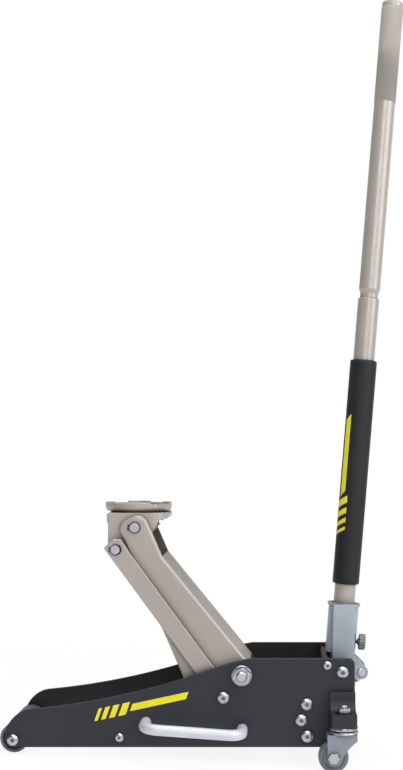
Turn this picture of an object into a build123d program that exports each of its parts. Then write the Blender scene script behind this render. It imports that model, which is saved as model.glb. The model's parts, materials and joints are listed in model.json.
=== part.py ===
from build123d import *
from math import asin, atan2, cos, degrees, hypot, pi, radians, sin, sqrt
import os

# Hydraulic floor jack, millimetres.
# Everything is drawn in the chassis frame: X runs from the front roller to the handle, Z is up from the
# bottom edge of the side plates, and Y = 0 is the middle plane (left is -Y, seen from the handle).
# At the end the whole jack is tipped nose-down so that roller and casters stand on one floor, and moved so
# that the origin is the bottom centre of its box.

# --- chassis ---------------------------------------------------------------------------------------------
GAP = 156.0                 # clear width between the side plates
PLATE_T = 8.0               # side plate thickness
PLATE_TOP = 132.8           # height of the side plates
PLATE_REAR = 512.7          # rear edge of the side plates
NOSE_FRONT = -12.7          # front edge of the side plates
NOSE_R = 44.0               # big radius of the nose
CASTER_RELIEF_H = 34.0      # rear height of the slanted cut that lets the casters swing under the plates
EDGE = 0.8                  # small chamfer on plate edges

AXLE_Z = 11.5               # front axle height
ROLLER_R = 21.5             # front roller
ROLLER_END_GAP = 1.6        # roller to side plate
FRONT_AXLE_D = 16.0
RUN = 0.05                  # radial running clearance of pins and shafts
SEAT = 0.02                 # radial clearance of a press fit
AIR = 0.3                   # clearance between parts that move past each other

TIE_FRONT = (159.8, 15.0)   # front tie tube
TIE_REAR = (471.5, 122.6)   # rear tie tube
TIE_D = 10.8                # tie tube diameter
TIE_RING_D = 14.5           # black ring at each tube end
TIE_RING_L = 5.0
TIE_BOLT_D = 6.0

BLOCK_HOLES = [(440.6, 64.5), (432.2, 40.8), (441.2, 16.7)]   # block bolts, three a side
BLOCK_BOLT_D = 10.0
BIG_HEAD_D = 18.5           # button head of the M10 screws
BIG_HEAD_H = 5.5
SMALL_HEAD_D = 13.7         # button head of the M8 screws
SMALL_HEAD_H = 4.4

# --- lift arm, links, saddle -----------------------------------------------------------------------------
ARM_AXLE = (343.1, 107.3)
ARM_AXLE_D = 20.0
AXLE_END_D = 16.0           # threaded ends of the arm axle
AXLE_WASHER_D = 31.0
AXLE_WASHER_T = 3.0
AXLE_NUT_AF = 24.0
AXLE_NUT_T = 8.0
NUT_GAP = 0.02              # nut face to washer
ARM_PIN = (180.3, 328.2)    # arm head pin, raised
ARM_PIN_D = 14.6
ARM_W = 128.0               # outer width of the lift arm
ARM_T = 5.0                 # sheet thickness of the lift arm
ARM_BEND_R = 4.8            # outside bend of the pressed channel
ARM_SWING = 65.5            # degrees from raised to lowered
EAR_R = 68.0                # push pin distance from the arm axle
EAR_ANGLE = 215.0           # push pin direction from the arm axle, raised
EAR_BOSS_R = 17.5
PUSH_PIN_D = 16.0
PUSH_ROLLER_R = 16.0
PUSH_ROLLER_W = 44.0
BUSH_D = 28.0
KNEE = (222.0, 284.3)       # where the arm's web starts
HEEL = (13.0, 12.4)         # where it ends, from the arm axle
LINK_OFFSET = (-27.6, -33.0)   # link pivots seen from the arm pivots
LINK_T = 6.0
LINK_IN = 66.3              # inner face of a link from the middle plane
LINK_HALF = 13.6            # half width of a link bar
LINK_HEAD_R = 17.3
LINK_PIN_D = 14.0
LINK_BOLT_D = 12.0
CLIP_T = 1.5
CLIP_W = 1.3                # radial width of a clip
BRACKET_W = 113.0           # width of the saddle bracket
BRACKET_TOP = 350.0
BRACKET_TOP_T = 14.0
BRACKET_CHEEK_T = 13.0
BRACKET_REACH = 49.4        # rear edge of the bracket from the arm pin
BRACKET_REAR_R = 24.0       # its rear corners, from above
BRACKET_FRONT_R = 5.0
SADDLE_R = 51.5
SADDLE_GAP = 0.5            # saddle to bracket
SADDLE_T = 12.6
PAD_H = 2.0                 # raised rim pads above the rim
PAD_W = 12.0
PAD_COUNT = 4
SPIGOT_D = 26.0

# --- hydraulic unit --------------------------------------------------------------------------------------
RAM_Z = 42.0
RAM_CYL_R = 25.0
RAM_BORE_R = 19.0
RAM_ROD_D = 26.0
RAM_TAIL = 4.0              # ram behind the gland when fully out
CROSS_T = 10.0              # crosshead thickness
CROSS_W = 96.0
CROSS_TOP = 82.0
CROSS_BOTTOM = 24.0
GLAND_T = 9.0
GLAND_LIP = 2.0
CYL_END_T = 5.4             # closed rear end of the ram cylinder
CYL_FRONT = 384.5           # front end of the ram cylinder
CYL_REAR = 471.5            # rear end of the ram cylinder
BLOCK_FRONT = 416.0
BLOCK_BACK = 460.0
BLOCK_TOP = 78.0
BLOCK_BOTTOM = 5.0
FILLER = (438.0, 42.0)      # filler plug on the block; the relief valve is its mirror image
PLUG_D = 10.0
TAIL_BACK = 507.0           # rear end of the pump casting
TAIL_W = 76.0
TAIL_TOP = 59.5
SPRING_Y = 37.0             # return springs, from the middle plane
SPRING_D = 13.0
SPRING_WIRE = 2.0

# --- handle socket and pump ------------------------------------------------------------------------------
SOCKET = (494.3, 112.5)     # socket pivot
LEAN = 4.66                 # handle lean from vertical in the chassis frame
SOCKET_OD = 47.0
SOCKET_BOTTOM = 18.0        # all distances along the handle are measured from the socket pivot
SOCKET_TOP = 95.0
COLLAR_D = 51.0
COLLAR_H = 5.0
CHEEK_Y = 30.0              # outer face of a socket cheek
CHEEK_T = 7.0
SOCKET_BOLT_D = 12.0
PUMP_PIN = (526.8, 102.5)
PUMP_PIN_D = 12.4
PUMP_EAR_R = 10.5
PUMP_ROLLER_R = 9.0
SOCKET_SWING = 45.0
PLUNGER_D = 11.0
PLUNGER_Y = 14.0
PLUNGER_HEAD_D = 17.0
PLUNGER_HEAD_T = 5.0
PUMP_SPRING_L = 33.0
THUMB_T = 35.8
THUMB_SHANK_D = 6.0
THUMB_KNOB_D = 24.6
THUMB_KNOB_T = 10.0
THUMB_KNOB_AT = 27.7        # knob face from the handle axis
TUBE_D = 33.0
TUBE_WALL = 2.4
TUBE_BOTTOM = 48.0
LOWER_TOP = 572.6
UPPER_BOTTOM = 584.0
NECK_D = 28.0
NECK_INSERT = 90.0
HANDLE_TOP = 1037.7
GRIP_FROM = 880.6           # the coated grip zone runs from here to the cap
GRIP_D = 33.4
CAP_T = 3.0
SLEEVE_D = 41.8
SLEEVE_FROM = 124.9
SLEEVE_TO = 475.6
BALL_R = 8.0
SPINDLE_D = 7.0
SPINDLE_SEAT = 50.0         # spindle enters the casting this far below the socket pivot
FORK_BOTTOM = -2.0

# --- casters and carry handles ---------------------------------------------------------------------------
CASTER_X = 494.5            # swivel axis
CASTER_OUT = 30.0           # swivel axis from the outer face of the side plate
CASTER_TRAIL = 15.8
WHEEL_Z = -6.1
WHEEL_R = 22.2
WHEEL_RIM = 5.7             # raised rim, from the tread to the recess in the side
WHEEL_W = 20.0
FORK_IN = 11.5              # inner face of a fork side from the wheel's middle plane
FORK_T = 3.0
SHELF_TOP = 57.0
SHELF_BOTTOM = 38.0
SHELF_W = 37.5
SHELF_OUT = 50.0
FLANGE_TOP = 84.0
FLANGE_T = 8.0
RACE_R = 21.0
RACE_T = 5.4
DISC_T = 5.0                # lower race disc on the fork
KINGPIN_D = 10.0
CASTER_AXLE_D = 8.0
CARRY_FRONT = (199.5, 38.0)
CARRY_REAR = (343.7, 27.5)
CARRY_D = 16.0
CARRY_OUT = 50.0
CARRY_BEND = 22.0

# --- worked out ------------------------------------------------------------------------------------------
HALF = GAP / 2
OUTER = HALF + PLATE_T
CASTER_Y = OUTER + CASTER_OUT
WHEEL_X = CASTER_X - CASTER_TRAIL
STANCE = atan2(AXLE_Z - WHEEL_Z, WHEEL_X) - asin((ROLLER_R - WHEEL_R) / hypot(AXLE_Z - WHEEL_Z, WHEEL_X))
LINK_LOW = (ARM_AXLE[0] + LINK_OFFSET[0], ARM_AXLE[1] + LINK_OFFSET[1])
LINK_HIGH = (ARM_PIN[0] + LINK_OFFSET[0], ARM_PIN[1] + LINK_OFFSET[1])
LINK_OUT = LINK_IN + LINK_T
EAR = (ARM_AXLE[0] + EAR_R * cos(radians(EAR_ANGLE)), ARM_AXLE[1] + EAR_R * sin(radians(EAR_ANGLE)))
EAR_LOW_X = ARM_AXLE[0] + EAR_R * cos(radians(EAR_ANGLE + ARM_SWING))
RAM_STROKE = EAR_LOW_X - EAR[0]
CROSS_FACE = EAR[0] + PUSH_ROLLER_R + AIR
AXIS = (sin(radians(LEAN)), cos(radians(LEAN)))
PUMP_R = hypot(PUMP_PIN[0] - SOCKET[0], PUMP_PIN[1] - SOCKET[1])
PUMP_START = atan2(PUMP_PIN[1] - SOCKET[1], PUMP_PIN[0] - SOCKET[0])
PUMP_MID = PUMP_START - radians(SOCKET_SWING) / 2
PUMP_DIR = (-sin(-PUMP_MID), -cos(PUMP_MID))
PUMP_STROKE = 2 * PUMP_R * sin(radians(SOCKET_SWING) / 2)
PUMP_FACE = (PUMP_PIN[0] + (PUMP_ROLLER_R + AIR) * PUMP_DIR[0],
             PUMP_PIN[1] + (PUMP_ROLLER_R + AIR) * PUMP_DIR[1])


# --- shape helpers ---------------------------------------------------------------------------------------
def belt(nodes):
    """Face in the XY plane whose edge runs anticlockwise round circles (x, y, r).

    A radius of 0 is a sharp corner, and a negative radius rounds an inside corner."""
    count = len(nodes)
    leave = []
    for i in range(count):
        x0, y0, r0 = nodes[i]
        x1, y1, r1 = nodes[(i + 1) % count]
        length = hypot(x1 - x0, y1 - y0)
        dx, dy = (x1 - x0) / length, (y1 - y0) / length
        along = (r0 - r1) / length
        across = sqrt(1 - along * along)
        leave.append((dx * along + dy * across, dy * along - dx * across))
    edges = []
    for i in range(count):
        x, y, r = nodes[i]
        ax, ay = leave[i - 1]
        bx, by = leave[i]
        start = (x + r * ax, y + r * ay)
        end = (x + r * bx, y + r * by)
        sweep = (atan2(by, bx) - atan2(ay, ax)) % (2 * pi)
        if r < 0:
            sweep -= 2 * pi
        if r != 0 and abs(r * sweep) > 1e-3:
            middle = atan2(ay, ax) + sweep / 2
            edges.append(ThreePointArc(start, (x + r * cos(middle), y + r * sin(middle)), end))
        nx, ny, nr = nodes[(i + 1) % count]
        edges.append(Line(end, (nx + nr * bx, ny + nr * by)))
    return Face(Wire(edges))


def slab(face, y0, y1):
    """A face drawn in (x, z), made solid from y0 to y1."""
    return Pos(0, y1, 0) * Rot(90, 0, 0) * extrude(face, amount=y1 - y0, dir=(0, 0, 1))


def rod(point, radius, y0, y1):
    """Round bar along Y."""
    return Pos(point[0], (y0 + y1) / 2, point[1]) * Rot(90, 0, 0) * Cylinder(radius, y1 - y0)


def ring(point, outer, inner, y0, y1):
    return rod(point, outer, y0, y1) - rod(point, inner, y0, y1)


def turned(profile):
    """Solid of revolution about Z from (radius, height) points."""
    points = [(r, 0, h) for r, h in profile]
    return revolve(make_face(Polyline(*points, close=True)), axis=Axis.Z)


def aim(shape, origin, direction, side=(0, 1, 0)):
    """Stand a shape drawn on Z at origin, pointing along direction."""
    return Plane(origin=origin, x_dir=side, z_dir=direction) * shape


def along_handle(t, out=0.0, y=0.0):
    """Point at distance t up the handle axis, out towards the rear and y across."""
    return (SOCKET[0] + AXIS[0] * t + AXIS[1] * out, y, SOCKET[1] + AXIS[1] * t - AXIS[0] * out)


def on_handle(shape):
    return aim(shape, along_handle(0), (AXIS[0], 0, AXIS[1]))


def both_sides(shape):
    """The shape and its mirror image across the middle plane, as separate solids."""
    return Part() + [shape, mirror(shape, about=Plane.XZ)]


def left_of(shape):
    return mirror(shape, about=Plane.XZ)


def button_screw(head_d, head_h, shank_d, length):
    """Domed screw: head above Z = 0 with a hexagon socket, shank below."""
    r = head_d / 2
    head = turned([(0, 0), (r, 0), (r, head_h * 0.3), (r * 0.93, head_h * 0.62), (r * 0.78, head_h * 0.88),
                   (r * 0.58, head_h), (0, head_h)])
    key = extrude(RegularPolygon(r * 0.36, 6), amount=head_h)
    screw = head - Pos(0, 0, head_h * 0.35) * key
    return screw + Pos(0, 0, -length / 2) * Cylinder(shank_d / 2, length)


def hexagon(across_flats, height):
    """Hexagon prism from Z = 0 with its corners turned off at both ends."""
    corner = across_flats / sqrt(3)
    flat = across_flats / 2
    drop = (corner - flat) * 0.6
    barrel = turned([(0, 0), (flat, 0), (corner, drop), (corner, height - drop), (flat, height), (0, height)])
    prism = extrude(RegularPolygon(flat, 6, major_radius=False), amount=height)
    return barrel & prism


def nut(across_flats, height, bore):
    return hexagon(across_flats, height) - Pos(0, 0, height / 2) * Cylinder(bore, height * 2)


def circlip(point, pin_d, y0, y1):
    """Thin spring clip round a pin's end, open towards the front, with an ear on each side of the gap."""
    r = pin_d / 2
    clip = ring(point, r + CLIP_W, r + SEAT, y0, y1)
    gap = 2.0
    middle = (y0 + y1) / 2
    clip -= Pos(point[0] - r - 1, middle, point[1]) * Box(6, 4, gap)
    ear = Box(CLIP_W + 2.2, y1 - y0, 2.6)
    for side in (-1, 1):
        clip += Pos(point[0] - r - 1.7, middle, point[1] + side * (gap + 2.6) / 2) * ear
    return clip - rod(point, r + SEAT, y0, y1)


# --- chassis ---------------------------------------------------------------------------------------------
def plate_face():
    """Outline of a side plate: round nose, hollow back rising to a flat top, caster relief at the rear."""
    nose = (NOSE_FRONT + NOSE_R, 13.0)
    lift = radians(7)
    nose_end = (nose[0] - NOSE_R * sin(lift), nose[1] + NOSE_R * cos(lift))
    half_turn = radians(45 - 3.5)
    nose_mid = (nose[0] - NOSE_R * cos(half_turn), nose[1] + NOSE_R * sin(half_turn))
    rise_end = (305.0, PLATE_TOP - 13.6)
    flat_start = (358.0, PLATE_TOP)
    toe = 12.0
    corner = 9.5
    bend = corner * (1 - sqrt(0.5))
    relief_start = CASTER_X - CASTER_OUT * 0.95
    edges = [
        Line((NOSE_FRONT, nose[1]), (NOSE_FRONT, toe)),
        ThreePointArc((NOSE_FRONT, toe), (NOSE_FRONT + toe * (1 - sqrt(0.5)), toe * (1 - sqrt(0.5))),
                      (NOSE_FRONT + toe, 0)),
        Line((NOSE_FRONT + toe, 0), (relief_start, 0)),
        Line((relief_start, 0), (PLATE_REAR, CASTER_RELIEF_H)),
        Line((PLATE_REAR, CASTER_RELIEF_H), (PLATE_REAR, PLATE_TOP - corner)),
        ThreePointArc((PLATE_REAR, PLATE_TOP - corner), (PLATE_REAR - bend, PLATE_TOP - bend),
                      (PLATE_REAR - corner, PLATE_TOP)),
        Line((PLATE_REAR - corner, PLATE_TOP), flat_start),
        ThreePointArc(flat_start, (331.0, PLATE_TOP - 5.5), rise_end),
        ThreePointArc(rise_end, (160.5, 77.4), nose_end),
        ThreePointArc(nose_end, nose_mid, (NOSE_FRONT, nose[1])),
    ]
    return Face(Wire(edges))


def side_plate():
    """Right side plate with its bolt holes."""
    plate = slab(plate_face(), HALF, OUTER)
    plate = chamfer(plate.faces().sort_by(Axis.Y)[-1].edges(), EDGE)
    holes = [(0, AXLE_Z, 10.0), (*TIE_FRONT, TIE_BOLT_D), (*TIE_REAR, TIE_BOLT_D), (*LINK_LOW, LINK_BOLT_D),
             (*ARM_AXLE, ARM_AXLE_D), (*SOCKET, SOCKET_BOLT_D)]
    holes += [(x, z, BLOCK_BOLT_D) for x, z in BLOCK_HOLES]
    holes += [(*point, 8.0) for point in (CARRY_FRONT, CARRY_REAR)]
    for x, z, d in holes:
        plate -= rod((x, z), d / 2 + SEAT, HALF - 1, OUTER + 1)
    for point in (CARRY_FRONT, CARRY_REAR):
        sink = turned([(0, 0), (8.2, 0), (4.1, 4.1), (0, 4.1)])
        plate -= aim(sink, (point[0], HALF, point[1]), (0, 1, 0), (1, 0, 0))
    return plate


def tie_tube(point):
    inner = HALF - TIE_RING_L
    return ring(point, TIE_D / 2, TIE_BOLT_D / 2 + SEAT, -inner, inner)


def tie_rings():
    rings = []
    for point in (TIE_FRONT, TIE_REAR):
        d = TIE_D + 1.2 if point == TIE_FRONT else TIE_RING_D
        rings.append(both_sides(ring(point, d / 2, TIE_BOLT_D / 2 + SEAT, HALF - TIE_RING_L, HALF)))
    return Part() + rings


def screw_in_plate(point, head_d, head_h, shank_d, length):
    """Button-head screw through the right side plate, head outside."""
    screw = button_screw(head_d, head_h, shank_d, length)
    return aim(screw, (point[0], OUTER, point[1]), (0, 1, 0), (1, 0, 0))


def tie_bolts():
    bolts = [both_sides(screw_in_plate(p, SMALL_HEAD_D, SMALL_HEAD_H, TIE_BOLT_D, PLATE_T + 24))
             for p in (TIE_FRONT, TIE_REAR)]
    return Part() + bolts


def block_bolts():
    bolts = [both_sides(screw_in_plate(p, BIG_HEAD_D, BIG_HEAD_H, BLOCK_BOLT_D, PLATE_T + 18))
             for p in BLOCK_HOLES]
    return Part() + bolts


def front_axle():
    axle = rod((0, AXLE_Z), FRONT_AXLE_D / 2, -HALF, HALF)
    for side in (-1, 1):
        tap = side * (HALF - 12)
        axle -= rod((0, AXLE_Z), 5.0 + SEAT, min(tap, side * (HALF + 1)), max(tap, side * (HALF + 1)))
    return axle


def front_roller():
    """Hollow-ended steel drum on the front axle."""
    half = HALF - ROLLER_END_GAP
    bore = FRONT_AXLE_D / 2 + RUN
    dish = 3.0
    profile = [(bore, -half + dish), (15, -half + dish), (17, -half), (ROLLER_R - 1.5, -half),
               (ROLLER_R, -half + 1.5), (ROLLER_R, half - 1.5), (ROLLER_R - 1.5, half), (17, half),
               (15, half - dish), (bore, half - dish)]
    return aim(turned(profile), (0, 0, AXLE_Z), (0, 1, 0), (1, 0, 0))


def arm_axle():
    """Cross axle of the lift arm with threaded, chamfered ends."""
    end = OUTER + AXLE_WASHER_T + AXLE_NUT_T + 4
    full = OUTER
    r, e = ARM_AXLE_D / 2, AXLE_END_D / 2
    profile = [(0, -end), (e - 2, -end), (e, -end + 2), (e, -full), (r, -full), (r, full), (e, full),
               (e, end - 2), (e - 2, end), (0, end)]
    return aim(turned(profile), (ARM_AXLE[0], 0, ARM_AXLE[1]), (0, 1, 0), (1, 0, 0))


def axle_washers():
    r = AXLE_WASHER_D / 2
    hole = AXLE_END_D / 2 + SEAT
    washer = turned([(hole, 0), (r, 0), (r, AXLE_WASHER_T - 0.8), (r - 0.8, AXLE_WASHER_T),
                     (hole, AXLE_WASHER_T)])
    return both_sides(aim(washer, (ARM_AXLE[0], OUTER, ARM_AXLE[1]), (0, 1, 0), (1, 0, 0)))


def axle_nuts():
    piece = nut(AXLE_NUT_AF, AXLE_NUT_T, AXLE_END_D / 2 + SEAT)
    place = (ARM_AXLE[0], OUTER + AXLE_WASHER_T + NUT_GAP, ARM_AXLE[1])
    return both_sides(aim(piece, place, (0, 1, 0), (1, 0, 0.25)))


def link_bolts():
    """Shoulder screws that the link bars turn on."""
    length = OUTER - LINK_IN + 0.5
    return both_sides(screw_in_plate(LINK_LOW, BIG_HEAD_D, BIG_HEAD_H, LINK_BOLT_D, length))


def pivot_spacers():
    """Spacer tubes on the link screws and on the socket screws, inside the plates."""
    at_link = ring(LINK_LOW, 10, LINK_BOLT_D / 2 + SEAT, LINK_OUT + AIR, HALF)
    at_socket = ring(SOCKET, 11, SOCKET_BOLT_D / 2 + SEAT, CHEEK_Y + AIR, HALF)
    return Part() + [both_sides(at_link), both_sides(at_socket)]


def socket_bolts():
    length = OUTER - CHEEK_Y + CHEEK_T
    return both_sides(screw_in_plate(SOCKET, BIG_HEAD_D, BIG_HEAD_H, SOCKET_BOLT_D, length))


# --- hydraulic unit --------------------------------------------------------------------------------------
def pump_well(y, radius, depth):
    """Bore of one pump, down from the top of its barrel."""
    well = Pos(0, 0, depth / 2) * Cylinder(radius, depth)
    start = PUMP_SPRING_L + PLUNGER_HEAD_T
    place = (PUMP_FACE[0] + start * PUMP_DIR[0], y, PUMP_FACE[1] + start * PUMP_DIR[1])
    return aim(well, place, (PUMP_DIR[0], 0, PUMP_DIR[1]))


def pump_block():
    """Iron casting between the plates: cross block, tail with the two pump barrels, valve boss."""
    depth = BLOCK_BACK - BLOCK_FRONT
    height = BLOCK_TOP - BLOCK_BOTTOM
    block = Pos((BLOCK_FRONT + BLOCK_BACK) / 2, 0, (BLOCK_TOP + BLOCK_BOTTOM) / 2) * Box(depth, GAP, height)
    for side in (-1, 1):
        pocket = Box(depth, HALF - RAM_CYL_R - 28, height - 26)
        middle = side * (RAM_CYL_R + HALF) / 2
        block -= Pos(BLOCK_BACK, middle, (BLOCK_TOP + BLOCK_BOTTOM) / 2) * pocket
    tail = Pos((BLOCK_BACK + TAIL_BACK) / 2, 0, (TAIL_TOP + BLOCK_BOTTOM + 5) / 2) * Box(
        TAIL_BACK - BLOCK_BACK, TAIL_W, TAIL_TOP - BLOCK_BOTTOM - 5)
    tail = fillet(tail.edges().filter_by(Axis.Z).sort_by(Axis.X)[-2:], 10)
    block = block + tail
    for side in (-1, 1):
        barrel = pump_well(side * PLUNGER_Y, PLUNGER_HEAD_D / 2 + 1.5, 24)
        block += barrel
    block -= Pos((CYL_FRONT + CYL_REAR) / 2, 0, RAM_Z) * Rot(0, 90, 0) * Cylinder(
        RAM_CYL_R + SEAT, CYL_REAR - CYL_FRONT)
    for side in (-1, 1):
        block -= pump_well(side * PLUNGER_Y, PLUNGER_D / 2 + RUN, PUMP_STROKE + 5)
    block -= aim(Cylinder(SPINDLE_D / 2 + RUN, 80), along_handle(-SPINDLE_SEAT - 40), (AXIS[0], 0, AXIS[1]))
    for x, z in BLOCK_HOLES:
        for side in (-1, 1):
            ends = sorted((side * (HALF - 19), side * (HALF + 1)))
            block -= rod((x, z), BLOCK_BOLT_D / 2 + SEAT, *ends)
    for side in (-1, 1):
        block -= Pos(FILLER[0], side * FILLER[1], BLOCK_TOP - 6) * Cylinder(PLUG_D / 2 + SEAT, 14)
    return block


def ram_cylinder():
    """Cylinder tube with a closed rear end."""
    profile = [(0, 0), (RAM_CYL_R - 1, 0), (RAM_CYL_R, 1), (RAM_CYL_R, CYL_REAR - CYL_FRONT),
               (RAM_BORE_R + 2, CYL_REAR - CYL_FRONT), (RAM_BORE_R + 2, CYL_REAR - CYL_FRONT - GLAND_T),
               (RAM_BORE_R, CYL_REAR - CYL_FRONT - GLAND_T), (RAM_BORE_R, CYL_END_T), (0, CYL_END_T)]
    return aim(turned(profile), (CYL_REAR, 0, RAM_Z), (-1, 0, 0))


def gland_nut():
    """Slotted ring nut that closes the cylinder round the rod."""
    bore = RAM_ROD_D / 2 + RUN
    profile = [(bore, -GLAND_T), (RAM_BORE_R + 2 - SEAT, -GLAND_T), (RAM_BORE_R + 2 - SEAT, 0),
               (RAM_CYL_R, 0), (RAM_CYL_R, GLAND_LIP - 1), (RAM_CYL_R - 1, GLAND_LIP), (bore, GLAND_LIP)]
    gland = turned(profile)
    for angle in range(0, 360, 60):
        gland -= Rot(0, 0, angle) * Pos(RAM_CYL_R, 0, GLAND_LIP) * Box(5, 5, 3)
    return aim(gland, (CYL_FRONT, 0, RAM_Z), (-1, 0, 0))


def ram_seal():
    seal = turned([(RAM_ROD_D / 2 + AIR, 0), (RAM_BORE_R - SEAT, 0), (RAM_BORE_R - SEAT, 4),
                   (RAM_ROD_D / 2 + AIR, 4)])
    return aim(seal, (CYL_FRONT + GLAND_T + 4, 0, RAM_Z), (-1, 0, 0))


def ram_rod():
    """Plain ram: it starts in the crosshead and still fills the gland when fully out."""
    length = CYL_FRONT + GLAND_T + RAM_TAIL - CROSS_FACE - CROSS_T
    r = RAM_ROD_D / 2
    rod_shape = turned([(0, 0), (r, 0), (r, length - 2), (r - 2, length), (0, length)])
    return aim(rod_shape, (CROSS_FACE + CROSS_T, 0, RAM_Z), (1, 0, 0))


def crosshead():
    """Flat plate on the end of the ram that pushes the roller in the arm."""
    height = CROSS_TOP - CROSS_BOTTOM
    plate = Box(CROSS_T, CROSS_W, height)
    plate = fillet(plate.edges().filter_by(Axis.X), 10)
    return Pos(CROSS_FACE + CROSS_T / 2, 0, (CROSS_TOP + CROSS_BOTTOM) / 2) * plate


def return_springs():
    """Tension springs from the crosshead to the block, as tubes of the coil's size."""
    start = CROSS_FACE + CROSS_T
    length = BLOCK_FRONT - start
    coil = Cylinder(SPRING_D / 2, length) - Cylinder(SPRING_D / 2 - SPRING_WIRE, length)
    return both_sides(Pos(start + length / 2, SPRING_Y, RAM_Z) * Rot(0, 90, 0) * coil)


def filler_plug():
    r = PLUG_D / 2
    plug = turned([(0, -10), (r, -10), (r, 0), (r + 3, 0), (r + 3, 2), (r + 1.5, 4), (0, 4)])
    return Pos(*FILLER, BLOCK_TOP) * plug


def relief_screw():
    r = PLUG_D / 2
    screw = turned([(0, -10), (r, -10), (r, 0), (r + 2, 0), (r + 2, 3.2), (r + 1.2, 4), (0, 4)])
    screw -= Pos(0, 0, 3.5) * Box(4 * r, 1.6, 2)
    return Pos(FILLER[0], -FILLER[1], BLOCK_TOP) * screw


# --- lift arm, links, saddle -----------------------------------------------------------------------------
def arm_face():
    """Side of the lift arm: rounded head, straight fork, wider body, ear for the push pin."""
    head_low = (ARM_PIN[0] - 7.3, ARM_PIN[1] - 2.7, 16.0)
    head_high = (ARM_PIN[0] + 3.7, ARM_PIN[1] + 1.3, 17.0)
    boss = (*ARM_AXLE, 18.0)
    ear = (*EAR, EAR_BOSS_R)
    return belt([boss, (*KNEE, 0), head_high, head_low, ear])


def lift_arm():
    """Pressed channel: two sides joined by a web along the rear edge."""
    side = slab(arm_face(), ARM_W / 2 - ARM_T, ARM_W / 2)
    arm = side + mirror(side, about=Plane.XZ)
    foot = (ARM_AXLE[0] + HEEL[0], ARM_AXLE[1] + HEEL[1])
    run = (foot[0] - KNEE[0], foot[1] - KNEE[1])
    length = hypot(*run)
    ux, uz = run[0] / length, run[1] / length
    inward = (uz, -ux)
    corners = [(0, 0), (length, 0), (length, ARM_T), (0, ARM_T)]
    points = [(KNEE[0] + ux * a + inward[0] * b, KNEE[1] + uz * a + inward[1] * b) for a, b in corners]
    web = slab(Face(Wire(Polyline(*points, close=True).edges())), -ARM_W / 2, ARM_W / 2)
    arm = arm + web
    bends = [e for e in arm.edges().filter_by(GeomType.LINE)
             if abs(abs(e.center().Y) - ARM_W / 2) < 0.01
             and abs(abs(e.tangent_at(0.5).X) - abs(ux)) < 0.004
             and e.length > length / 2]
    arm = fillet(bends, ARM_BEND_R)
    bore = BUSH_D / 2 + SEAT
    arm -= rod(ARM_AXLE, bore, -ARM_W, ARM_W)
    arm -= rod(ARM_PIN, ARM_PIN_D / 2 + SEAT, -ARM_W, ARM_W)
    arm -= rod(EAR, PUSH_PIN_D / 2 + SEAT, -ARM_W, ARM_W)
    return arm


def arm_bushes():
    bore = ARM_AXLE_D / 2 + RUN
    bush = ring(ARM_AXLE, BUSH_D / 2, bore, ARM_W / 2 - ARM_T - 3, HALF - AIR)
    return both_sides(bush)


def arm_pins():
    half = ARM_W / 2 + 3.2
    return Part() + [rod(ARM_PIN, ARM_PIN_D / 2, -half, half), rod(EAR, PUSH_PIN_D / 2, -half, half)]


def arm_clips():
    low = ARM_W / 2 + 0.1
    clips = [both_sides(circlip(point, d, low, low + CLIP_T))
             for point, d in ((ARM_PIN, ARM_PIN_D), (EAR, PUSH_PIN_D))]
    return Part() + clips


def push_roller():
    half = PUSH_ROLLER_W / 2
    bore = PUSH_PIN_D / 2 + RUN
    profile = [(bore, -half), (PUSH_ROLLER_R - 1, -half), (PUSH_ROLLER_R, -half + 1),
               (PUSH_ROLLER_R, half - 1), (PUSH_ROLLER_R - 1, half), (bore, half)]
    return aim(turned(profile), (EAR[0], 0, EAR[1]), (0, 1, 0), (1, 0, 0))


def link_bar():
    """Right link bar: flat bar with a wider head at the upper pin."""
    bar = belt([(*LINK_LOW, LINK_HALF), (*LINK_HIGH, LINK_HALF)])
    corner = 3.0
    x, z = LINK_HIGH
    length = hypot(x - LINK_LOW[0], z - LINK_LOW[1])
    along = ((x - LINK_LOW[0]) / length, (z - LINK_LOW[1]) / length)
    edge = (x - along[1] * (LINK_HALF - corner), z + along[0] * (LINK_HALF - corner))
    rise = (z + 2 - edge[1]) / along[1]
    head = belt([(x + LINK_HEAD_R / 2 - corner, z + LINK_HEAD_R - 1.5 - corner, corner),
                 (x - LINK_HEAD_R / 4, z + LINK_HEAD_R - 1.5 - corner, corner),
                 (edge[0] + rise * along[0], z + 2, corner),
                 (x - LINK_HEAD_R * along[0], z - LINK_HEAD_R * along[1], LINK_HALF)])
    link = slab(bar, LINK_IN, LINK_OUT) + slab(head, LINK_IN, LINK_OUT)
    link = chamfer(link.faces().sort_by(Axis.Y)[-1].edges(), EDGE)
    link -= rod(LINK_LOW, LINK_BOLT_D / 2 + RUN, HALF / 2, HALF)
    link -= rod(LINK_HIGH, LINK_PIN_D / 2 + SEAT, HALF / 2, HALF)
    return link


def link_pin():
    half = LINK_OUT + 3.0
    return rod(LINK_HIGH, LINK_PIN_D / 2, -half, half)


def link_clips():
    return both_sides(circlip(LINK_HIGH, LINK_PIN_D, LINK_OUT + 0.1, LINK_OUT + 0.1 + CLIP_T))


def bracket_plan():
    """Outline of the bracket from above: big rear corners, small front corners."""
    half = BRACKET_W / 2
    front = LINK_HIGH[0] - 14.2 + BRACKET_FRONT_R
    rear = ARM_PIN[0] + BRACKET_REACH - BRACKET_REAR_R
    return belt([(rear, half - BRACKET_REAR_R, BRACKET_REAR_R), (front - 2, half - BRACKET_FRONT_R, BRACKET_FRONT_R),
                 (front - 2, BRACKET_FRONT_R - half, BRACKET_FRONT_R), (rear, BRACKET_REAR_R - half, BRACKET_REAR_R)])


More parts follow.
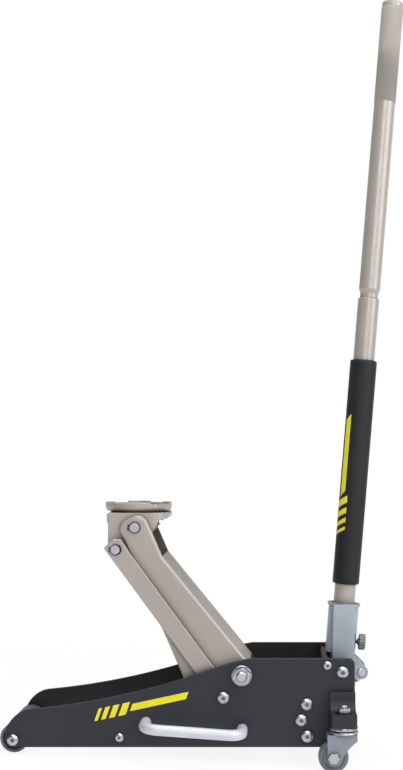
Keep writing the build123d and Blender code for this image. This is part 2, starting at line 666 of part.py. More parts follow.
def bracket_face():
    """Side outline of the bracket: flat top, nose over the link pin, hollow under the rear flange."""
    x0 = LINK_HIGH[0] - 14.0
    right = ARM_PIN[0] + BRACKET_REACH
    return belt([(right - 2.5, BRACKET_TOP - 2.5, 2.5), (x0 + 0.8, BRACKET_TOP - 2.5, 2.5),
                 (x0 - 1.7, BRACKET_TOP - 15, 0), (x0 + 0.3, BRACKET_TOP - 16, 0), (*LINK_HIGH, 14.0),
                 (ARM_PIN[0] + 4, ARM_PIN[1] - 6, 15.0), (ARM_PIN[0] + 24.6, ARM_PIN[1] - 6.6, 0),
                 (ARM_PIN[0] + 46, ARM_PIN[1] - 1.0, -13.5), (right - 2.5, BRACKET_TOP - 6.5, 2.5)])


def saddle_bracket():
    """Cast bracket: thick top with two cheeks that take the arm pin and the link pin."""
    half = BRACKET_W / 2
    body = slab(bracket_face(), -half, half)
    inner = half - BRACKET_CHEEK_T
    hollow = Box(200, 2 * inner, 200)
    body &= extrude(bracket_plan(), amount=BRACKET_TOP + 1, dir=(0, 0, 1))
    bracket = body - Pos(ARM_PIN[0], 0, BRACKET_TOP - BRACKET_TOP_T - 100) * hollow
    bracket -= Pos(ARM_PIN[0], 0, BRACKET_TOP) * Cylinder(SPIGOT_D / 2 + RUN, 4 * BRACKET_TOP_T)
    bracket -= rod(ARM_PIN, ARM_PIN_D / 2 + RUN, -half - 1, half + 1)
    bracket -= rod(LINK_HIGH, LINK_PIN_D / 2 + RUN, -half - 1, half + 1)
    bracket -= set_screw(SEAT)
    return bracket - set_screw_place(Pos(0, 0, -6) * Cylinder(6.0, 12))


def set_screw_place(shape):
    """Seat of the small screw in the hollow under the rear flange."""
    seat = (ARM_PIN[0] + 35.4, -BRACKET_W / 2 + 8, ARM_PIN[1] + 9.4)
    return aim(shape, seat, (-0.6, 0, 0.8))


def set_screw(extra=0.0):
    """Small hexagon screw up into the rear flange of the saddle bracket."""
    screw = Pos(0, 0, 3) * Cylinder(3 + extra, 10)
    if extra == 0:
        screw += Pos(0, 0, -4) * hexagon(9.0, 4.0)
    return set_screw_place(screw)


def saddle():
    """Round saddle: dished top, four raised rim pads, spigot that turns in the bracket."""
    low = BRACKET_TOP + SADDLE_GAP
    rim = low + SADDLE_T
    spigot = SPIGOT_D / 2
    length = low - ARM_PIN[1] - ARM_PIN_D / 2 - 1.5
    profile = [(0, low - length), (spigot - 1, low - length), (spigot, low - length + 1), (spigot, low),
               (SADDLE_R - 6, low), (SADDLE_R - 2.2, low + 1.8), (SADDLE_R - 0.4, low + 4.6),
               (SADDLE_R, low + 7), (SADDLE_R, rim), (SADDLE_R - PAD_W, rim),
               (SADDLE_R - PAD_W - 1.5, rim - 4), (0, rim - 4)]
    body = turned(profile)
    pad_ring = turned([(SADDLE_R - PAD_W, rim - 1), (SADDLE_R, rim - 1), (SADDLE_R, rim + PAD_H - 0.6),
                       (SADDLE_R - 0.6, rim + PAD_H), (SADDLE_R - PAD_W, rim + PAD_H)])
    wedge = belt([(0, 0, 0), (80, -30, 0), (80, 30, 0)])
    for i in range(PAD_COUNT):
        cutter = Rot(0, 0, i * 360 / PAD_COUNT + 4) * extrude(wedge, amount=2 * rim, dir=(0, 0, 1))
        body += pad_ring & cutter
    for i in range(PAD_COUNT):
        for step in (-2, -1, 0, 1, 2):
            angle = (i + 0.5) * 360 / PAD_COUNT + 4 + step * 9
            body -= Rot(0, 0, angle) * Pos(SADDLE_R - 3, 0, rim) * Box(12, 2.6, 2.6)
    return Pos(ARM_PIN[0], 0, 0) * body


# --- handle socket, pumps, handle ------------------------------------------------------------------------
def handle_socket():
    """Socket tube with a collar, two flat cheeks down to the pivot, and rear ears for the pump roller."""
    inner = TUBE_D / 2 + 0.35
    under_collar = SOCKET_TOP - COLLAR_H
    tube = turned([(inner, SOCKET_BOTTOM), (SOCKET_OD / 2, SOCKET_BOTTOM), (SOCKET_OD / 2, under_collar),
                   (COLLAR_D / 2, under_collar + 1), (COLLAR_D / 2, SOCKET_TOP), (inner, SOCKET_TOP)])
    tube = on_handle(tube)
    top = SOCKET[1] + AXIS[1] * SOCKET_TOP - 0.5
    cheek_face = belt([(SOCKET[0] + 3.5, SOCKET[1], 15.5), (PUMP_PIN[0], PUMP_PIN[1], PUMP_EAR_R),
                       (SOCKET[0] + 21.5, SOCKET[1] + 16, 0), (SOCKET[0] + 23.4, top, 0),
                       (SOCKET[0] - 9.9, top, 0), (SOCKET[0] - 12.2, SOCKET[1] + 16, 0)])
    cheek = slab(cheek_face, CHEEK_Y - CHEEK_T, CHEEK_Y)
    socket = tube + cheek + mirror(cheek, about=Plane.XZ)
    bore = Pos(0, 0, (SOCKET_BOTTOM + SOCKET_TOP) / 2) * Cylinder(inner, SOCKET_TOP - SOCKET_BOTTOM + 2)
    socket -= on_handle(bore)
    socket -= rod(SOCKET, SOCKET_BOLT_D / 2 + RUN, -HALF, HALF)
    socket -= rod(PUMP_PIN, PUMP_PIN_D / 2 + SEAT, -HALF, HALF)
    socket -= aim(Cylinder(THUMB_SHANK_D / 2 + RUN, 40), along_handle(THUMB_T, inner + 10),
                  (AXIS[1], 0, -AXIS[0]))
    return socket


def pump_pin():
    half = CHEEK_Y + 1.5
    pin = turned([(0, -half), (PUMP_PIN_D / 2 - 0.8, -half), (PUMP_PIN_D / 2, -half + 0.8),
                  (PUMP_PIN_D / 2, half - 0.8), (PUMP_PIN_D / 2 - 0.8, half), (0, half)])
    return aim(pin, (PUMP_PIN[0], 0, PUMP_PIN[1]), (0, 1, 0), (1, 0, 0))


def pump_roller():
    half = CHEEK_Y - CHEEK_T - AIR
    return ring(PUMP_PIN, PUMP_ROLLER_R, PUMP_PIN_D / 2 + RUN, -half, half)


def thumb_screw():
    """Knurled thumb screw whose tip runs in the groove of the drive fork."""
    tip = 13.6
    knob_r = THUMB_KNOB_D / 2
    profile = [(0, tip), (2.2, tip), (THUMB_SHANK_D / 2, tip + 1), (THUMB_SHANK_D / 2, THUMB_KNOB_AT - 2),
               (5.5, THUMB_KNOB_AT - 2), (5.5, THUMB_KNOB_AT), (knob_r - 1, THUMB_KNOB_AT),
               (knob_r, THUMB_KNOB_AT + 1), (knob_r, THUMB_KNOB_AT + THUMB_KNOB_T - 1),
               (knob_r - 1, THUMB_KNOB_AT + THUMB_KNOB_T), (0, THUMB_KNOB_AT + THUMB_KNOB_T)]
    screw = turned(profile)
    for i in range(18):
        screw -= Rot(0, 0, i * 20) * Pos(knob_r + 0.6, 0, THUMB_KNOB_AT + THUMB_KNOB_T / 2) * Cylinder(
            1.4, THUMB_KNOB_T + 2)
    return aim(screw, along_handle(THUMB_T), (AXIS[1], 0, -AXIS[0]))


def plungers():
    """Two pump plungers with flat heads under the roller."""
    bottom = PLUNGER_HEAD_T + PUMP_SPRING_L + 4
    plunger = turned([(0, 0), (PLUNGER_HEAD_D / 2 - 1, 0), (PLUNGER_HEAD_D / 2, 1),
                      (PLUNGER_HEAD_D / 2, PLUNGER_HEAD_T), (PLUNGER_D / 2, PLUNGER_HEAD_T),
                      (PLUNGER_D / 2, bottom), (0, bottom)])
    place = (PUMP_FACE[0], PLUNGER_Y, PUMP_FACE[1])
    return both_sides(aim(plunger, place, (PUMP_DIR[0], 0, PUMP_DIR[1])))


def pump_springs():
    coil = turned([(PLUNGER_D / 2 + 0.4, 0), (PLUNGER_HEAD_D / 2 - 0.4, 0),
                   (PLUNGER_HEAD_D / 2 - 0.4, PUMP_SPRING_L), (PLUNGER_D / 2 + 0.4, PUMP_SPRING_L)])
    x = PUMP_FACE[0] + PLUNGER_HEAD_T * PUMP_DIR[0]
    place = (x, PLUNGER_Y, PUMP_FACE[1] + PLUNGER_HEAD_T * PUMP_DIR[1])
    return both_sides(aim(coil, place, (PUMP_DIR[0], 0, PUMP_DIR[1])))


def release_spindle():
    """Release-valve spindle with the ball of the universal joint on the socket pivot."""
    length = SPINDLE_SEAT + 22
    shaft = Pos(0, 0, -length / 2) * Cylinder(SPINDLE_D / 2, length)
    return on_handle(Sphere(BALL_R) + shaft)


def drive_fork():
    """Handle end: plug with the thumb-screw groove, and two arms that straddle the ball."""
    r = TUBE_D / 2
    plug = turned([(0, 22), (r, 22), (r, 31.5), (12.5, 31.5), (12.5, 40.1), (r, 40.1), (r, TUBE_BOTTOM),
                   (r - TUBE_WALL - SEAT, TUBE_BOTTOM), (r - TUBE_WALL - SEAT, 80), (0, 80)])
    arms = Box(12, 2 * (r - 3.5), 24 - FORK_BOTTOM) - Box(13, 2 * (BALL_R + 1.0), 60)
    return on_handle(plug + Pos(0, 0, (24 + FORK_BOTTOM) / 2) * arms)


def lower_tube():
    r = TUBE_D / 2
    return on_handle(turned([(r - TUBE_WALL, TUBE_BOTTOM), (r, TUBE_BOTTOM), (r, LOWER_TOP - 0.8),
                             (r - 0.8, LOWER_TOP), (r - TUBE_WALL, LOWER_TOP)]))


def upper_tube():
    """Upper tube with a reduced neck that slides into the lower tube."""
    r = TUBE_D / 2
    n = min(NECK_D / 2, r - TUBE_WALL - RUN)
    bottom = LOWER_TOP - NECK_INSERT
    top = HANDLE_TOP - CAP_T
    return on_handle(turned([(n - TUBE_WALL, bottom), (n, bottom), (n, UPPER_BOTTOM - 4),
                             (r - 1.2, UPPER_BOTTOM), (r, UPPER_BOTTOM + 3), (r, GRIP_FROM),
                             (GRIP_D / 2, GRIP_FROM), (GRIP_D / 2, top), (r - TUBE_WALL, top),
                             (r - TUBE_WALL, UPPER_BOTTOM + 4), (n - TUBE_WALL, UPPER_BOTTOM)]))


def handle_sleeve():
    r = SLEEVE_D / 2
    inner = TUBE_D / 2 + SEAT
    return on_handle(turned([(inner, SLEEVE_FROM), (r - 1.5, SLEEVE_FROM), (r, SLEEVE_FROM + 1.5),
                             (r, SLEEVE_TO - 1.5), (r - 1.5, SLEEVE_TO), (inner, SLEEVE_TO)]))


def handle_cap():
    r = TUBE_D / 2
    inner = r - TUBE_WALL - SEAT
    under = HANDLE_TOP - CAP_T
    return on_handle(turned([(0, HANDLE_TOP - 20), (inner, HANDLE_TOP - 20), (inner, under),
                             (r, under), (r, HANDLE_TOP - 1.5), (r - 1.5, HANDLE_TOP),
                             (0, HANDLE_TOP)]))


# --- casters and carry handles ---------------------------------------------------------------------------
def caster_bracket():
    """Right bracket: flange on the plate and a thick shelf, with a big inner fillet."""
    x0 = PLATE_REAR - SHELF_W + 0.3
    end = OUTER + SHELF_OUT
    rise = 16.0
    profile = [Line((OUTER, SHELF_BOTTOM), (end, SHELF_BOTTOM)), Line((end, SHELF_BOTTOM), (end, SHELF_TOP)),
               Line((end, SHELF_TOP), (OUTER + FLANGE_T + rise, SHELF_TOP)),
               ThreePointArc((OUTER + FLANGE_T + rise, SHELF_TOP),
                             (OUTER + FLANGE_T + rise * (1 - sqrt(0.5)), SHELF_TOP + rise * (1 - sqrt(0.5))),
                             (OUTER + FLANGE_T, SHELF_TOP + rise)),
               Line((OUTER + FLANGE_T, SHELF_TOP + rise), (OUTER + FLANGE_T, FLANGE_TOP)),
               Line((OUTER + FLANGE_T, FLANGE_TOP), (OUTER, FLANGE_TOP)),
               Line((OUTER, FLANGE_TOP), (OUTER, SHELF_BOTTOM))]
    face = Face(Wire(profile))
    body = extrude(Plane.YZ.offset(x0) * face, amount=SHELF_W, dir=(1, 0, 0))
    body = fillet(body.edges().filter_by(Axis.Z).sort_by(Axis.Y)[-2:], 3.0)
    body -= Pos(CASTER_X, CASTER_Y, SHELF_TOP + 10) * Cylinder(11.5, 20)
    return body - Pos(CASTER_X, CASTER_Y, SHELF_TOP) * Cylinder(KINGPIN_D / 2 + SEAT, 80)


def caster_race():
    """Fixed upper race under the shelf."""
    top = SHELF_BOTTOM
    hole = KINGPIN_D / 2 + SEAT
    race = turned([(hole, 0), (RACE_R - 2.4, 0), (RACE_R - 0.6, 1.2), (RACE_R, 2.8), (RACE_R - 0.4, RACE_T - 0.6),
                   (RACE_R - 1.2, RACE_T), (hole, RACE_T)])
    return Pos(CASTER_X, CASTER_Y, top - RACE_T) * race


def kingpin():
    """Swivel pin with its head under the fork, and a threaded end above the shelf."""
    fork_under = SHELF_BOTTOM - RACE_T - AIR - DISC_T - FORK_T
    head = 4.0
    bottom = fork_under - AIR - head
    top = SHELF_TOP + 12
    r = KINGPIN_D / 2
    wide = 9.0
    pin = turned([(0, bottom), (wide, bottom), (wide, bottom + head), (r, bottom + head), (r, top - 1),
                  (r - 1, top), (0, top)])
    return Pos(CASTER_X, CASTER_Y, 0) * pin


def caster_nut():
    return Pos(CASTER_X, CASTER_Y, SHELF_TOP) * Rot(0, 0, 15) * nut(16.0, 8.0, KINGPIN_D / 2 + SEAT)


def caster_fork():
    """Bent fork: lower race disc, top plate and two curved sides."""
    disc_top = SHELF_BOTTOM - RACE_T - AIR
    disc = Pos(CASTER_X, CASTER_Y, disc_top) * turned(
        [(0, -DISC_T), (RACE_R - 2, -DISC_T), (RACE_R - 0.4, 1.4 - DISC_T), (RACE_R - 0.4, -1.2),
         (RACE_R - 1.6, 0), (0, 0)])
    plate_top = disc_top - DISC_T
    plate_bottom = plate_top - FORK_T
    half = FORK_IN + FORK_T
    front = CASTER_X - 25.0
    rear = CASTER_X + 19.0
    top = Pos((front + rear) / 2, CASTER_Y, plate_top - FORK_T / 2) * Box(rear - front, 2 * half, FORK_T)
    side_face = fork_side_face(front, rear, plate_top)
    sides = [slab(side_face, CASTER_Y + s * (FORK_IN + FORK_T / 2) - FORK_T / 2,
                  CASTER_Y + s * (FORK_IN + FORK_T / 2) + FORK_T / 2) for s in (-1, 1)]
    fork = disc + top + sides[0] + sides[1]
    fork -= Pos(CASTER_X, CASTER_Y, plate_bottom) * Cylinder(KINGPIN_D / 2 + RUN, 40)
    fork -= rod((WHEEL_X, WHEEL_Z), CASTER_AXLE_D / 2 + SEAT, CASTER_Y - 30, CASTER_Y + 30)
    return fork


def fork_side_face(front, rear, top):
    """Side of the fork: straight front edge, hollow rear edge down to the axle boss."""
    boss = 12.0
    chin = (WHEEL_X + boss * cos(radians(-20)), WHEEL_Z + boss * sin(radians(-20)))
    hollow = (WHEEL_X + 19.0, WHEEL_Z + 9.0)
    shoulder = (rear, top - 9.0)
    edges = [Line((rear, top), (front, top)), Line((front, top), (front, WHEEL_Z)),
             ThreePointArc((front, WHEEL_Z), (WHEEL_X - 3.0, WHEEL_Z - boss), chin),
             ThreePointArc(chin, hollow, shoulder), Line(shoulder, (rear, top))]
    return Face(Wire(edges))


def caster_axle():
    """Axle bolt and its nut."""
    out = FORK_IN + FORK_T
    head = aim(hexagon(15.0, 5.5), (WHEEL_X, CASTER_Y + out, WHEEL_Z), (0, 1, 0), (1, 0, 0))
    bolt = head + rod((WHEEL_X, WHEEL_Z), CASTER_AXLE_D / 2, CASTER_Y - out - 8, CASTER_Y + out)
    piece = nut(15.0, 6.0, CASTER_AXLE_D / 2 + SEAT)
    piece = aim(piece, (WHEEL_X, CASTER_Y - out, WHEEL_Z), (0, -1, 0), (1, 0, 0))
    return Part() + [bolt, piece]


def caster_wheel():
    half = WHEEL_W / 2
    bore = CASTER_AXLE_D / 2 + RUN
    rim = WHEEL_R - WHEEL_RIM
    profile = [(bore, -half), (8, -half), (8.5, -half + 1.5), (rim - 1, -half + 1.5), (rim, -half + 0.3),
               (WHEEL_R - 2, -half + 0.3), (WHEEL_R, -half + 2.3), (WHEEL_R, half - 2.3),
               (WHEEL_R - 2, half - 0.3), (rim, half - 0.3), (rim - 1, half - 1.5), (8.5, half - 1.5), (8, half),
               (bore, half)]
    return aim(turned(profile), (WHEEL_X, CASTER_Y, WHEEL_Z), (0, 1, 0), (1, 0, 0))


def carry_handle():
    """Right carry handle: round bar bent down to the plate at both ends."""
    out = OUTER + CARRY_OUT
    x0, z0 = CARRY_FRONT
    x1, z1 = CARRY_REAR
    path = FilletPolyline((x0, OUTER, z0), (x0, out, z0), (x1, out, z1), (x1, OUTER, z1), radius=CARRY_BEND)
    start = Plane(origin=(x0, OUTER, z0), z_dir=(0, 1, 0)) * Circle(CARRY_D / 2)
    bar = sweep(start, path=path)
    for x, z in (CARRY_FRONT, CARRY_REAR):
        bar -= rod((x, z), 4 + SEAT, OUTER - 1, OUTER + 16)
    return bar


def carry_screws():
    """Countersunk screws from inside the plates into the carry handles."""
    screw = turned([(0, 0), (8, 0), (4, 4), (4, PLATE_T + 15), (0, PLATE_T + 15)])
    screw -= extrude(RegularPolygon(2.5, 6), amount=2.5)
    pieces = [both_sides(aim(screw, (x, HALF, z), (0, 1, 0), (1, 0, 0))) for x, z in (CARRY_FRONT, CARRY_REAR)]
    return Part() + pieces


# --- assembly --------------------------------------------------------------------------------------------
def jack():
    """Every node in the chassis frame; the right-hand pieces are drawn and the left ones mirrored."""
    nodes = {
        "side_plate_right": side_plate(),
        "tie_tubes": Part() + [tie_tube(TIE_FRONT), tie_tube(TIE_REAR)],
        "tie_tube_rings": tie_rings(),
        "tie_bolts": tie_bolts(),
        "arm_axle": arm_axle(),
        "axle_nuts": Part() + [axle_washers(), axle_nuts()],
        "link_pivot_bolts": link_bolts(),
        "pivot_spacers": pivot_spacers(),
        "socket_pivot_bolts": socket_bolts(),
        "pump_block": pump_block(),
        "block_bolts": block_bolts(),
        "ram_cylinder": ram_cylinder(),
        "gland_nut": gland_nut(),
        "ram_seal": ram_seal(),
        "filler_plug": filler_plug(),
        "relief_valve_screw": relief_screw(),
        "front_axle": front_axle(),
        "front_axle_screws": both_sides(screw_in_plate((0, AXLE_Z), 17.5, BIG_HEAD_H, 10.0, PLATE_T + 11)),
        "front_roller": front_roller(),
        "carry_handle_right": carry_handle(),
        "carry_handle_screws": carry_screws(),
        "caster_bracket_right": caster_bracket(),
        "caster_races": both_sides(caster_race()),
        "caster_kingpins": both_sides(kingpin()),
        "caster_nuts": both_sides(caster_nut()),
        "caster_fork_right": caster_fork(),
        "caster_axle_right": caster_axle(),
        "caster_wheel_right": caster_wheel(),
        "lift_arm": lift_arm(),
        "arm_bushes": arm_bushes(),
        "arm_pins": arm_pins(),
        "arm_circlips": arm_clips(),
        "push_roller": push_roller(),
        "link_bar_right": link_bar(),
        "link_head_pin": Part() + [link_pin(), link_clips()],
        "saddle_bracket": saddle_bracket(),
        "saddle_set_screw": set_screw(),
        "saddle": saddle(),
        "ram_rod": ram_rod(),
        "ram_crosshead": crosshead(),
        "return_springs": return_springs(),
        "handle_socket": handle_socket(),
        "pump_roller_pin": pump_pin(),
        "pump_roller": pump_roller(),
        "thumb_screw": thumb_screw(),
        "lower_handle_tube": lower_tube(),
        "upper_handle_tube": upper_tube(),
        "handle_sleeve": handle_sleeve(),
        "handle_cap": handle_cap(),
        "drive_fork": drive_fork(),
        "pump_plungers": plungers(),
        "pump_springs": pump_springs(),
        "release_spindle": release_spindle(),
    }
    for name in [n for n in nodes if n.endswith("_right")]:
        nodes[name.replace("_right", "_left")] = left_of(nodes[name])
    return nodes


def stand(nodes):
    """Tip the jack onto its wheels and put the origin at the bottom centre of its box."""
    tipped = {name: Rot(0, -degrees(STANCE), 0) * shape for name, shape in nodes.items()}
    boxes = [shape.bounding_box() for shape in tipped.values()]
    low = min(box.min.X for box in boxes)
    high = max(box.max.X for box in boxes)
    floor = AXLE_Z * cos(STANCE) - ROLLER_R
    shift = Pos(-(low + high) / 2, 0, -floor)
    return {name: shift * shape for name, shape in tipped.items()}, (-(low + high) / 2, -floor)


def main():
    os.makedirs("parts", exist_ok=True)
    standing, shift = stand(jack())
    for name, shape in standing.items():
        export_step(shape, f"parts/{name}.step")
    print("stance", round(degrees(STANCE), 3), "shift", shift, len(standing), "nodes")


if __name__ == "__main__":
    main()
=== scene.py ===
import json
import math

import bmesh
import bpy
from mathutils import Matrix, Vector


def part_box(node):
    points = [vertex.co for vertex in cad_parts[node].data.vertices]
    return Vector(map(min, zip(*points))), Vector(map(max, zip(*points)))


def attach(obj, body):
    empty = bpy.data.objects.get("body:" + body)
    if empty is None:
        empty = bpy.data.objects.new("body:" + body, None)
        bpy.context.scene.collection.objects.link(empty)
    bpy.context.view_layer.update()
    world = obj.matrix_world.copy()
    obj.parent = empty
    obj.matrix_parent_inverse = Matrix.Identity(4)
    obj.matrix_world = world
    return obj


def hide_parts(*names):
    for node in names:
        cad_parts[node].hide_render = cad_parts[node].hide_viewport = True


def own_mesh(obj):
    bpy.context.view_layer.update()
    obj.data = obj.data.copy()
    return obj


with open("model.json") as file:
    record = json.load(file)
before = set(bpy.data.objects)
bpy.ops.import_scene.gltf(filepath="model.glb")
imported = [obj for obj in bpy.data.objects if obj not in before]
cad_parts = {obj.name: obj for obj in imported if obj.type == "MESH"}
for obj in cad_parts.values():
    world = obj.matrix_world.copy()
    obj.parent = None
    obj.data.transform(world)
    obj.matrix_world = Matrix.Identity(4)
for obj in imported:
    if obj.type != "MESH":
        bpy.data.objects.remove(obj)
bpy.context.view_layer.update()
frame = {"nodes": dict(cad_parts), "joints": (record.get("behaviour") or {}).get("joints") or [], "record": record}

MM = 0.001
NODES = frame["nodes"]
JOINT = {j["name"]: j for j in frame["joints"]}


# --- places, from the frame ------------------------------------------------------------------------------
# The chassis stands nose-down on its wheels, so its own right and up are a little off the row's X and Z.
UP = Vector(JOINT["caster_swivel_left"]["axis"]).normalized()
RIGHT = Vector((UP.z, 0, -UP.x))
ACROSS = Vector((0, 1, 0))
FRONT_AXLE = Vector(JOINT["front_roller_spin"]["pos_m"])
FRONT_AXLE_Z = 11.5
PLATE_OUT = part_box("side_plate_right")[1].y
HANDLE_UP = Vector(JOINT["handle_twist"]["axis"]).normalized()
SOCKET_PIVOT = Vector(JOINT["handle_twist"]["pos_m"])
HANDLE_SIDE = Vector((HANDLE_UP.z, 0, -HANDLE_UP.x))


def at(x, y, z):
    """A point of the chassis frame: mm from the front axle, the middle plane and the plates' lower edge."""
    return FRONT_AXLE + RIGHT * (x * MM) + ACROSS * (y * MM) + UP * ((z - FRONT_AXLE_Z) * MM)


def along_handle(t, radius=0.0, angle=0.0):
    """A point t mm up the handle, radius mm out from its axis; angle 0 is towards the rear, 90 is +Y."""
    a = math.radians(angle)
    out = HANDLE_SIDE * math.cos(a) + ACROSS * math.sin(a)
    return SOCKET_PIVOT + HANDLE_UP * (t * MM) + out * (radius * MM)


# --- camera, lights, floor -------------------------------------------------------------------------------
CAMERA_AT = (373.5, 436.8)      # where the view's straight-ahead line meets the jack, chassis frame
CAMERA_DISTANCE = 1900.0        # from the near side plate
LENS = 59.24
SHIFT = (-0.0786, 0.0922)


def make_camera():
    data = bpy.data.cameras.new("camera")
    camera = bpy.data.objects.new("camera", data)
    bpy.context.scene.collection.objects.link(camera)
    data.lens = LENS
    data.sensor_width = 36
    data.shift_x, data.shift_y = SHIFT
    data.clip_start, data.clip_end = 0.05, 60
    place = at(CAMERA_AT[0], 0, CAMERA_AT[1])
    place.y = -PLATE_OUT - CAMERA_DISTANCE * MM
    turn = Matrix((RIGHT, UP, -ACROSS)).transposed()
    camera.matrix_world = Matrix.Translation(place) @ turn.to_4x4()
    bpy.context.scene.camera = camera
    bpy.context.scene.view_settings.view_transform = "Standard"


def area_light(name, place, target, size, power, colour=(1, 1, 1)):
    data = bpy.data.lights.new(name, "AREA")
    data.shape = "RECTANGLE"
    data.size, data.size_y = size
    data.energy = power
    data.color = colour
    light = bpy.data.objects.new(name, data)
    bpy.context.scene.collection.objects.link(light)
    light.location = place
    light.rotation_euler = (Vector(target) - Vector(place)).to_track_quat("-Z", "Y").to_euler()


WORLD_WHITE = 1.0


def make_world():
    """White seen directly; what lights and reflects is a studio, darker low down and on the left."""
    world = bpy.data.worlds.new("studio")
    world.use_nodes = True
    tree = world.node_tree
    room = tree.nodes["Background"]
    coords = tree.nodes.new("ShaderNodeTexCoord")
    split = tree.nodes.new("ShaderNodeSeparateXYZ")
    tree.links.new(coords.outputs["Generated"], split.inputs[0])
    ramp = tree.nodes.new("ShaderNodeValToRGB")
    tree.links.new(split.outputs["Z"], ramp.inputs[0])
    ramp.color_ramp.elements[0].position = 0.02
    ramp.color_ramp.elements[0].color = (0.10, 0.102, 0.108, 1)
    ramp.color_ramp.elements[1].position = 0.95
    ramp.color_ramp.elements[1].color = (0.80, 0.80, 0.80, 1)
    middle = ramp.color_ramp.elements.new(0.38)
    middle.color = (0.34, 0.342, 0.35, 1)
    tree.links.new(ramp.outputs["Color"], room.inputs["Color"])
    sideways = tree.nodes.new("ShaderNodeMapRange")
    tree.links.new(split.outputs["X"], sideways.inputs["Value"])
    sideways.inputs["From Min"].default_value = -0.8
    sideways.inputs["From Max"].default_value = 0.8
    sideways.inputs["To Min"].default_value = 0.30
    sideways.inputs["To Max"].default_value = 1.25
    tree.links.new(sideways.outputs["Result"], room.inputs["Strength"])
    white = tree.nodes.new("ShaderNodeBackground")
    white.inputs["Color"].default_value = (WORLD_WHITE, WORLD_WHITE, WORLD_WHITE, 1)
    path = tree.nodes.new("ShaderNodeLightPath")
    mix = tree.nodes.new("ShaderNodeMixShader")
    tree.links.new(path.outputs["Is Camera Ray"], mix.inputs[0])
    tree.links.new(room.outputs[0], mix.inputs[1])
    tree.links.new(white.outputs[0], mix.inputs[2])
    tree.links.new(mix.outputs[0], tree.nodes["World Output"].inputs["Surface"])
    bpy.context.scene.world = world


def make_lights():
    middle = (0, 0, 0.45)
    area_light("key", (2.7, -1.6, 1.8), middle, (1.7, 2.4), 56)
    area_light("front", (0.5, -3.2, 1.7), middle, (1.4, 1.6), 34)
    area_light("fill", (-2.6, -1.9, 1.2), middle, (0.5, 2.2), 2)
    area_light("top", (-0.1, -0.3, 2.9), middle, (2.2, 1.4), 38)
    area_light("rim_left", (-1.9, 2.4, 1.8), middle, (1.4, 2.0), 5)
    area_light("rim_right", (2.0, 2.2, 1.6), middle, (1.2, 2.0), 9)


def make_floor():
    """A round pale floor that fades into the backdrop's white at its rim."""
    mesh = bpy.data.meshes.new("floor")
    bm = bmesh.new()
    bmesh.ops.create_circle(bm, cap_ends=True, segments=96, radius=25)
    bm.to_mesh(mesh)
    bm.free()
    floor = bpy.data.objects.new("floor", mesh)
    bpy.context.scene.collection.objects.link(floor)
    material = Paint("floor_paint")
    material.base((0.90, 0.90, 0.90))
    material.set(Roughness=0.9)
    glow = material.add("ShaderNodeEmission")
    glow.inputs["Color"].default_value = (WORLD_WHITE, WORLD_WHITE, WORLD_WHITE, 1)
    length = material.add("ShaderNodeVectorMath", operation="LENGTH")
    material.link(material.coords, length.inputs[0])
    fade = material.add("ShaderNodeMapRange", interpolation_type="SMOOTHSTEP")
    material.link(length.outputs["Value"], fade.inputs["Value"])
    fade.inputs["From Min"].default_value = 0.3
    fade.inputs["From Max"].default_value = 1.6
    fade.inputs["To Min"].default_value = 0.88
    mix = material.add("ShaderNodeMixShader")
    material.link(fade.outputs["Result"], mix.inputs[0])
    material.link(material.shader.outputs[0], mix.inputs[1])
    material.link(glow.outputs[0], mix.inputs[2])
    material.link(mix.outputs[0], material.output.inputs[0])
    mesh.materials.append(material.data)


